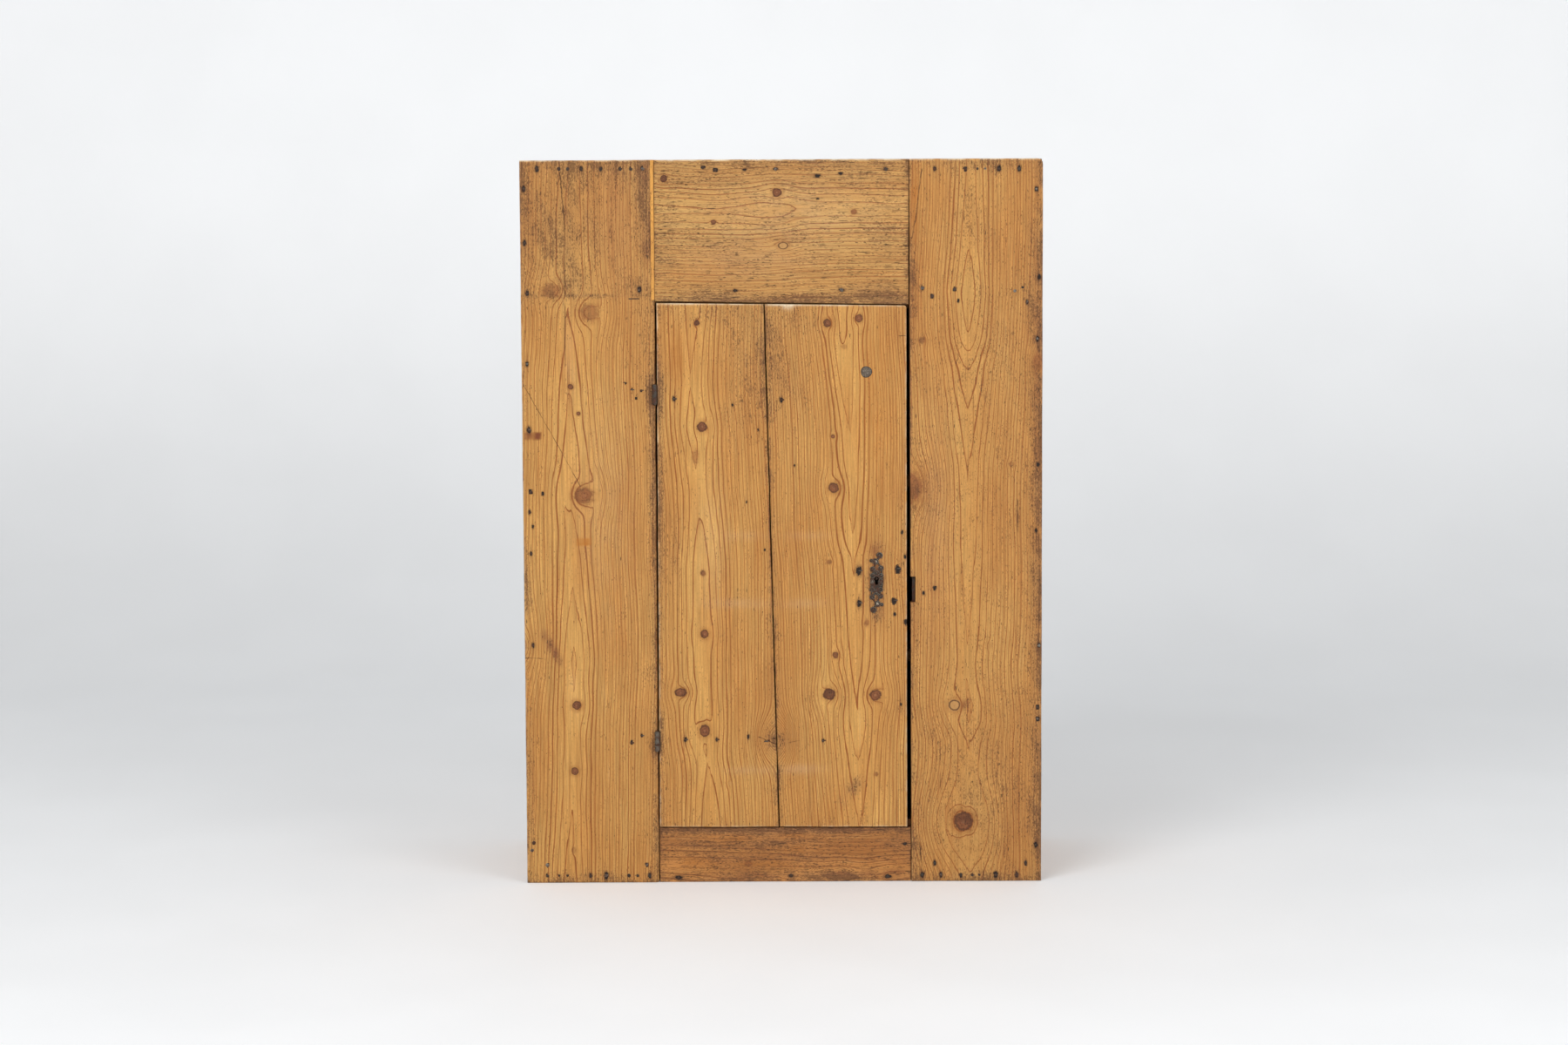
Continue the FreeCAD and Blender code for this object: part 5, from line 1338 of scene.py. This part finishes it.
class CABINET_OT_door(bpy.types.Operator):
    """Build the two boards of the door and its ledges"""
    bl_idname = "cabinet.door"
    bl_label = "Door"

    def execute(self, context):
        wood = context.scene.cabinet_wood
        common = dict(body="door", way="upright", tint="front", grid=wood.front_grid, arris=wood.arris)
        clenched = head_marks("door_ledge_nails", "upright", 2.8, CLENCHED_LENGTH)
        Board(
            # The last argument of each door board paints pale edges: worn wood and painted highlight
            # where the arrises catch the light
            "door_hinge_board", seed=53, spacing=5.0,
            corners=((-208.0, 94.5), (-8.8, 93.97), (-30.1, 967.5), (-206.9, 969.8)),
            nails=tuple(mark for mark in clenched if mark[0] < DOOR_SEAM),
            cuts=hinge_cuts(3, 4.1, 5, 20), edge_grime=(0.8, 0.8, 0.25, 0.15),
            bare=(0.45, 0, 0.3, 0.5), **common,
        ).build()
        Board(
            "door_lock_board", seed=67, spacing=4.3, rounded=4.0,
            corners=((-7.4, 93.97), (206.4, 93.4), (205.8, 964.4), (-28.5, 967.5)),
            nails=tuple(mark for mark in clenched if mark[0] > DOOR_SEAM),
            cuts=lock_cuts(), edge_grime=(0.8, 0.35, 0.25, 0.15), bare=(0, 0.35, 0.3, 0.5), **common,
        ).build()
        nails = head_marks("door_ledge_nails", "level back")
        for seed, node in enumerate(("door_upper_ledge", "door_lower_ledge"), 71):
            Board(node, "door", "level back", seed=seed, arris=1.6, spacing=3.8, nails=nails).build()
        wood_plug()
        return {"FINISHED"}


class CABINET_OT_case(bpy.types.Operator):
    """Build sides, top, bottom, back, and the battens behind the front"""
    bl_idname = "cabinet.case"
    bl_label = "Case boards"

    def execute(self, context):
        seed = 100
        for side in ("left", "right"):
            way = f"{side} side"
            nails = head_marks("side_nails", way)
            for part in ("front", "rear"):
                seed += 1
                name = f"{side}_side_{part}_board"
                Board(name, "case", way, seed=seed, nails=nails, tint="front").build()
        nails = head_marks("top_nails", "lying")
        for part in ("front", "rear"):
            seed += 2
            name = f"top_{part}_board"
            Board(name, "case", "lying", seed=seed - 1, nails=nails, tint="front").build()
            Board(f"bottom_{part}_board", "case", "lying", seed=seed).build()
        nails = head_marks("back_nails", "upright back")
        for number in range(1, 5):
            name = f"back_board_{number}"
            Board(name, "case", "upright back", seed=seed + number, nails=nails).build()
        for number, node in enumerate(("header_batten", "door_stop_strip"), seed + 10):
            Board(node, "case", "level back", seed=number, arris=0.8).build()
        return {"FINISHED"}


class CABINET_OT_shelves(bpy.types.Operator):
    """Build the two shelves and their cleats"""
    bl_idname = "cabinet.shelves"
    bl_label = "Shelves and cleats"

    def execute(self, context):
        seed = 200
        nails = head_marks("shelf_nails", "lying")
        for shelf in ("upper", "lower"):
            for part in ("front", "rear"):
                seed += 1
                Board(f"{shelf}_shelf_{part}_board", "case", "lying", seed=seed, nails=nails).build()
            for side in ("left", "right"):
                seed += 1
                Board(f"{shelf}_shelf_{side}_cleat", "case", f"cleat {side}", seed=seed).build()
        return {"FINISHED"}


def wood_plug():
    """A round grey wooden plug let into the door."""
    x, z, radius = WOOD_PLUG
    work = bmesh.new()
    pick = np.random.default_rng(5)
    tones = work.verts.layers.float.new("tone")
    loops = []
    for share, sink in ((0.5, 0.0), (0.82, 0.05), (0.93, 0.12), (1.0, 0.45), (1.0, 3.0)):
        loop = []
        for angle in turns(36):
            out = radius * share * (1 + 0.03 * math.sin(3 * angle + 1) + pick.uniform(-0.01, 0.01))
            place = (x + out * math.cos(angle), DOOR_FACE - 0.3 + sink, z + out * math.sin(angle))
            loop.append(work.verts.new(Vector(place) * MM))
            loop[-1][tones] = 1.0 if share > 0.9 else 0.0
        loops.append(loop)
    skin(work, loops, Vector((x, DOOR_FACE - 0.27, z)) * MM)
    plug = settle(work, "door_plug")
    finish(plug, grey_end_grain())
    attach(plug, "door")


# Nodes of board nails that get forged heads, with their bodies, and of ironwork that is kept
NAIL_GROUPS = tuple(
    (place + "_nails", "case")
    for place in ("front_left", "front_right", "frieze", "rail", "side", "top", "back", "shelf")
)
KEPT_NAILS = (
    "door_ledge_nails", "lock_nails", "hinge_case_nails", "hinge_door_nails", "keeper_nails", "staple",
)
# From the top of a forged head to its shank: share of its radius, and depth in mm
HEAD_PROFILE = ((0.35, 0.0), (0.7, 0.08), (0.92, 0.25), (1.0, 0.55), (0.9, 1.1), (0.32, 9.0))


class CABINET_OT_nails(bpy.types.Operator):
    """Forge the nail heads, each one a little different"""
    bl_idname = "cabinet.nails"
    bl_label = "Nails"

    def execute(self, context):
        usual = context.scene.cabinet_iron.nail_size
        for seed, (node, body) in enumerate(NAIL_GROUPS, 300):
            pick = np.random.default_rng(seed)
            work = bmesh.new()
            work.verts.layers.float.new("tone")
            for place, inward, radius in nail_spots(node):
                forge_head(work, place, inward, radius * usual * pick.uniform(0.62, 1.08), pick)
            heads = settle(work, node + "_forged")
            finish(heads, iron("nail_iron", 0.0, 0.62, 0.25, 0.1), 60)
            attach(heads, body)
            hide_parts(node)
        for node in KEPT_NAILS:
            dress(node, iron("worn_iron", 0.14, 0.5, 0.4, 0.2))
        return {"FINISHED"}


def forge_head(work, place, inward, radius, pick):
    """One hammered head with its shank, sunk a little into the wood."""
    start = len(work.verts)
    inward = Vector(inward)
    side = inward.orthogonal().normalized()
    other = inward.cross(side)
    sink = pick.uniform(0.0, 0.16)
    tilt = Vector((pick.uniform(-0.05, 0.05), pick.uniform(-0.05, 0.05)))
    lumps = [(pick.integers(2, 5), pick.uniform(0, 6.28), pick.uniform(0.03, 0.09)) for _ in range(3)]
    loops = []
    for share, depth in HEAD_PROFILE:
        loop = []
        for angle in turns(14):
            swell = 1 + sum(size * math.sin(waves * angle + phase) for waves, phase, size in lumps)
            out = radius * share * swell
            across = Vector((math.cos(angle) * out, math.sin(angle) * out))
            deep = max(0.02, depth + sink + across.dot(tilt))
            spot = Vector(place) + side * across.x + other * across.y + inward * deep
            loop.append(work.verts.new(spot * MM))
        loops.append(loop)
    top, tip = (Vector(place) + inward * deep for deep in (sink + 0.02, 12.0))
    skin(work, loops, top * MM, tip * MM)
    tone = pick.uniform(0.35, 0.8) if pick.uniform() < 0.3 else pick.uniform(0, 0.12)
    for vert in list(work.verts)[start:]:
        vert[work.verts.layers.float["tone"]] = tone


class CABINET_OT_hinges(bpy.types.Operator):
    """Dress the two butt hinges in old iron"""
    bl_idname = "cabinet.hinges"
    bl_label = "Hinges"

    def execute(self, context):
        # The lower hinge gets a paler copy of the same iron: painted highlight for the light on its
        # knuckle
        for hinge, name, brightness in (
            ("upper_hinge", "hinge_iron", 0.0), ("lower_hinge", "dull_iron", 0.28),
        ):
            for leaf in ("case", "door"):
                dress(f"{hinge}_{leaf}_leaf", iron(name, brightness, 0.6, 0.2, 0.12), 0.35)
            dress(f"{hinge}_pin", iron("pin_iron", 0.1, 0.5, 0.4), 0.3)
        return {"FINISHED"}


class CABINET_OT_lock(bpy.types.Operator):
    """Dress the lock, its bolt, spring, pin and keeper"""
    bl_idname = "cabinet.lock"
    bl_label = "Lock"

    def execute(self, context):
        for node in ("lock_plate", "lock_cap", "bolt_keeper"):
            dress(node, iron("old_iron", 0.0, 0.55, 0.35, 0.15), 0.2)
        for node in ("lock_bolt", "bolt_spring"):
            dress(node, iron("rubbed_steel", 0.75, 0.36, 0.9), 0.2)
        # Painted highlight: the key pin's colour is paler than any iron, standing in for its glint deep
        # in the keyhole
        dress("lock_key_pin", iron("bright_pin", 1.5, 0.3, 0.9), 0.3)
        return {"FINISHED"}


# The pierced plate: u, v from its middle and radius of each disc of one half, in mm
SCROLL_DISCS = (
    (5.2, 45.5, 5.3), (-1.6, 35.4, 5.3), (-8.6, 36.6, 3.1), (-6.6, 22.6, 4.5), (7.3, 24.2, 4.5),
    (0.4, 16.2, 4.6), (-6.6, 11.6, 4.3), (7.4, 11.8, 4.3), (-7.0, 2.6, 3.3), (7.0, 3.6, 3.3),
)
# Ribs: from disc, to disc, half width
SCROLL_STEMS = (
    (0, 1, 2.2), (1, 2, 1.9), (1, 4, 1.6), (1, 3, 1.6), (3, 5, 2.0), (4, 5, 2.0), (3, 6, 1.8),
    (4, 7, 1.8),
)
# From a disc's middle outwards: share of its radius, height off the door, and how pale it is, worn and
# painted as highlight
DISC_PROFILE = (
    (0.30, 1.05, 0.25), (0.52, 0.7, 0.0), (0.68, 0.95, 0.0), (0.80, 1.7, 0.75), (0.91, 1.68, 0.6),
    (1.0, 1.0, 0.0), (1.0, 0.0, 0.0),
)


class CABINET_OT_escutcheon(bpy.types.Operator):
    """Build the pierced iron plate round the keyhole, in relief"""
    bl_idname = "cabinet.escutcheon"
    bl_label = "Escutcheon"

    def execute(self, context):
        plate = scroll_plate()
        work = bmesh.new()
        work.from_mesh(plate)
        bpy.data.meshes.remove(plate)
        work.verts.layers.float.new("tone")
        for turn in (1, -1):
            for u, v, radius in SCROLL_DISCS:
                scroll_disc(work, turn * u, turn * v, radius)
            for start, end, width in SCROLL_STEMS:
                scroll_stem(work, turn, SCROLL_DISCS[start], SCROLL_DISCS[end], width)
            # Painted highlights: a pale stud to each side of the keyhole
            boss(work, turn * 7.2, 2.6 if turn > 0 else 3.0, 1.4)
        plate = settle(work, "escutcheon_relief")
        # Strong bright edges: worn iron and painted highlight on the rims
        finish(plate, iron("scroll_iron", 0.05, 0.45, 0.6, 0.9), 40)
        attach(plate, "door")
        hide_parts("escutcheon")
        # Painted highlight: the plate's pins are coloured pale for their glints
        dress("escutcheon_nails", iron("bright_pin", 1.5, 0.3, 0.9), 0.2)
        return {"FINISHED"}


def on_plate(u, v, rise):
    """A point on the escutcheon, by its place from the middle and its height off the door."""
    x, z = SCROLL_MIDDLE
    return Vector((x + u, DOOR_FACE - rise, z + v)) * MM


def scroll_disc(work, u, v, radius):
    """A dished round end with a raised rim, its rim pale as wear and as a painted highlight."""
    tones = work.verts.layers.float["tone"]
    loops = []
    for share, rise, rubbed_and_lit in DISC_PROFILE:
        loop = []
        for angle in turns(26):
            x, y = u + radius * share * math.cos(angle), v + radius * share * math.sin(angle)
            loop.append(work.verts.new(on_plate(x, y, rise)))
            # Painted highlight: the rim is paler towards one side, as if lit from there
            loop[-1][tones] = rubbed_and_lit * (0.6 + 0.4 * math.sin(angle + 0.8))
        loops.append(loop)
    skin(work, loops, on_plate(u, v, 1.0))


def scroll_stem(work, turn, start, end, width):
    """A rounded rib that bows a little between two discs."""
    a, b = Vector(start[:2]) * turn, Vector(end[:2]) * turn
    run = b - a
    side = Vector((-run.y, run.x)).normalized()
    loops = []
    for share in (step / 8 for step in range(9)):
        swell = math.sin(math.pi * share)
        middle = a + run * share + side * (run.length * 0.10) * swell
        thick = width * (1 - 0.22 * swell)
        loop = []
        for angle in (math.pi * step / 7 for step in range(8)):
            spot = middle + side * thick * math.cos(angle)
            loop.append(work.verts.new(on_plate(spot.x, spot.y, 0.15 + 1.25 * math.sin(angle))))
        loops.append(loop)
    for near, far in zip(loops, loops[1:]):
        for j in range(-1, 7):
            work.faces.new((near[j], far[j], far[j + 1], near[j + 1]))
    work.faces.new(loops[0])
    work.faces.new(loops[-1])


def boss(work, u, v, radius):
    """A small domed stud, coloured pale all over as a painted highlight."""
    tones = work.verts.layers.float["tone"]
    size = Matrix.Diagonal((radius * MM, 0.9 * MM, radius * MM, 1))
    place = Matrix.Translation(on_plate(u, v, 1.2)) @ size
    dome = bmesh.ops.create_uvsphere(work, u_segments=14, v_segments=8, radius=1.0, matrix=place)
    for vert in dome["verts"]:
        vert[tones] = 1.0


def scroll_plate():
    """The middle of the escutcheon with its keyhole, as a filled outline with rounded edges."""
    def swollen(value, power):
        return math.copysign(abs(value) ** power, value)

    data = bpy.data.curves.new("scroll_plate", "CURVE")
    data.dimensions, data.fill_mode = "2D", "BOTH"
    data.extrude, data.bevel_depth, data.bevel_resolution = 0.45 * MM, 0.3 * MM, 2
    x, z = KEYHOLE[0] - SCROLL_MIDDLE[0], KEYHOLE[1] - SCROLL_MIDDLE[1]
    outline = [
        (10.6 * swollen(math.cos(angle), 0.55), 13.5 * swollen(math.sin(angle), 0.8))
        for angle in turns(48)
    ]
    foot, half = KEYHOLE_FOOT - SCROLL_MIDDLE[1], KEYHOLE_SLOT / 2
    lean = math.acos(half / KEYHOLE_RADIUS)
    hole = [
        (x + KEYHOLE_RADIUS * math.cos(angle), z + KEYHOLE_RADIUS * math.sin(angle))
        for angle in np.linspace(-lean, math.pi + lean, 22)
    ]
    hole += [
        (x - half, foot + 0.6), (x - half + 0.6, foot), (x + half - 0.6, foot), (x + half, foot + 0.6),
    ]
    for points in (outline, hole):
        spline = data.splines.new("POLY")
        spline.points.add(len(points) - 1)
        for point, (u, v) in zip(spline.points, points):
            point.co = (u * MM, v * MM, 0, 1)
        spline.use_cyclic_u = True
    shape = link("scroll_plate", data)
    mesh = baked(shape)
    mesh.transform(Matrix.Translation(on_plate(0, 0, 0.75)) @ Matrix.Rotation(math.radians(90), 4, "X"))
    bpy.data.objects.remove(shape)
    bpy.data.curves.remove(data)
    return mesh


# The photograph's viewpoint: place in metres, degrees down and aside, lens and film in mm
CAMERA_PLACE = (0.00216, -5.0987, 1.0103)
CAMERA_DOWN, CAMERA_ASIDE = 4.722, 0.2527
CAMERA_LENS, CAMERA_FILM = 68.0, 36.0
# The floor in metres: half its width, where it starts, where it bends up, radius, height
FLOOR_HALF, FLOOR_NEAR, FLOOR_BEND, FLOOR_RADIUS, FLOOR_TOP = 9.0, -7.0, 2.2, 1.6, 7.0


class CABINET_OT_stage(bpy.types.Operator):
    """Set up the plain floor, the soft lights and the camera"""
    bl_idname = "cabinet.stage"
    bl_label = "Stage"

    def execute(self, context):
        scene = context.scene
        settings = scene.cabinet_stage
        scene.view_settings.view_transform = "Standard"
        film = bpy.data.cameras.new("photo_camera")
        film.sensor_width, film.lens = CAMERA_FILM, CAMERA_LENS
        camera = link("photo_camera", film)
        down, aside = math.radians(90 - CAMERA_DOWN), math.radians(-CAMERA_ASIDE)
        turn = Matrix.Rotation(down, 4, "X") @ Matrix.Rotation(aside, 4, "Z")
        camera.matrix_world = Matrix.Translation(CAMERA_PLACE) @ turn
        scene.camera = camera
        self.sweep(settings)
        for name, place, aim, watts in (
            ("key_light", (-1.9, -3.6, 3.1), (0, -0.1, 0.55), settings.key_watts),
            ("fill_light", (2.6, -3.2, 1.5), (0, 0, 0.6), settings.fill_watts),
        ):
            lamp = bpy.data.lights.new(name, "AREA")
            lamp.shape, lamp.size, lamp.energy = "DISK", 2.6, watts
            turn = (Vector(aim) - Vector(place)).to_track_quat("-Z", "Y").to_matrix().to_4x4()
            link(name, lamp).matrix_world = Matrix.Translation(place) @ turn
        world = bpy.data.worlds.new("soft_room")
        scene.world = world
        world.use_nodes = True
        back = world.node_tree.nodes["Background"].inputs
        back["Color"].default_value = (1, 1, 1, 1)
        back["Strength"].default_value = settings.world
        return {"FINISHED"}

    def sweep(self, settings):
        """A pale floor that curves up into a backdrop."""
        profile = [(FLOOR_NEAR, 0.0), (FLOOR_BEND, 0.0)]
        for angle in (i / 12 * math.pi / 2 for i in range(1, 13)):
            back, up = FLOOR_RADIUS * math.sin(angle), FLOOR_RADIUS - FLOOR_RADIUS * math.cos(angle)
            profile.append((FLOOR_BEND + back, up))
        profile.append((FLOOR_BEND + FLOOR_RADIUS, FLOOR_TOP))
        points = [(x, y, z) for y, z in profile for x in (-FLOOR_HALF, FLOOR_HALF)]
        faces = [(2 * i, 2 * i + 1, 2 * i + 3, 2 * i + 2) for i in range(len(profile) - 1)]
        mesh = bpy.data.meshes.new("pale_floor")
        mesh.from_pydata(points, [], faces)
        mesh.shade_smooth()
        floor = link("pale_floor", mesh)
        material, wire, inputs = new_material("pale_floor")
        place = wire.object_place()
        mottle = wire.span(wire.noise(place, 3.0, 3), 0.3, 0.7)
        pale = tuple(settings.floor)
        wire.feed(inputs["Base Color"], wire.blend(mottle, pale, tuple(c * 0.97 for c in pale)))
        inputs["Roughness"].default_value = 0.75
        inputs["Emission Color"].default_value = (1, 1, 1, 1)
        paths = wire.add("LightPath").outputs
        seen = wire.math("ADD", paths["Is Camera Ray"], paths["Is Glossy Ray"])
        seen = wire.math("ADD", seen, paths["Is Transmission Ray"], clamp=True)
        lift = wire.span(wire.split(place)[2], 0.0, 1.4, settings.lift, settings.lift * 2.4)
        wire.feed(inputs["Emission Strength"], seen * lift)
        mesh.materials.append(material)


class CABINET_PT_panel(bpy.types.Panel):
    """The cabinet's pieces and settings"""
    bl_idname = "CABINET_PT_panel"
    bl_label = "Storage cabinet"
    bl_space_type = "VIEW_3D"
    bl_region_type = "UI"
    bl_category = "Cabinet"

    def draw(self, context):
        layout = self.layout
        for pointer, kind in POINTERS:
            box = layout.box()
            for name in kind.__annotations__:
                box.prop(getattr(context.scene, pointer), name)
        for step in STEPS:
            layout.operator(step.bl_idname)


STEPS = (
    CABINET_OT_stage, CABINET_OT_front, CABINET_OT_door, CABINET_OT_case, CABINET_OT_shelves,
    CABINET_OT_nails, CABINET_OT_hinges, CABINET_OT_lock, CABINET_OT_escutcheon,
)
CLASSES = (WoodSettings, IronSettings, StageSettings, *STEPS, CABINET_PT_panel)
POINTERS = (
    ("cabinet_wood", WoodSettings), ("cabinet_iron", IronSettings), ("cabinet_stage", StageSettings),
)


def register():
    for item in CLASSES:
        bpy.utils.register_class(item)
    for name, kind in POINTERS:
        setattr(bpy.types.Scene, name, bpy.props.PointerProperty(type=kind))


def unregister():
    for name, _ in POINTERS:
        delattr(bpy.types.Scene, name)
    for item in reversed(CLASSES):
        bpy.utils.unregister_class(item)


def main():
    register()
    for step in STEPS:
        group, name = step.bl_idname.split(".")
        getattr(getattr(bpy.ops, group), name)()


if __name__ == "__main__":
    main()
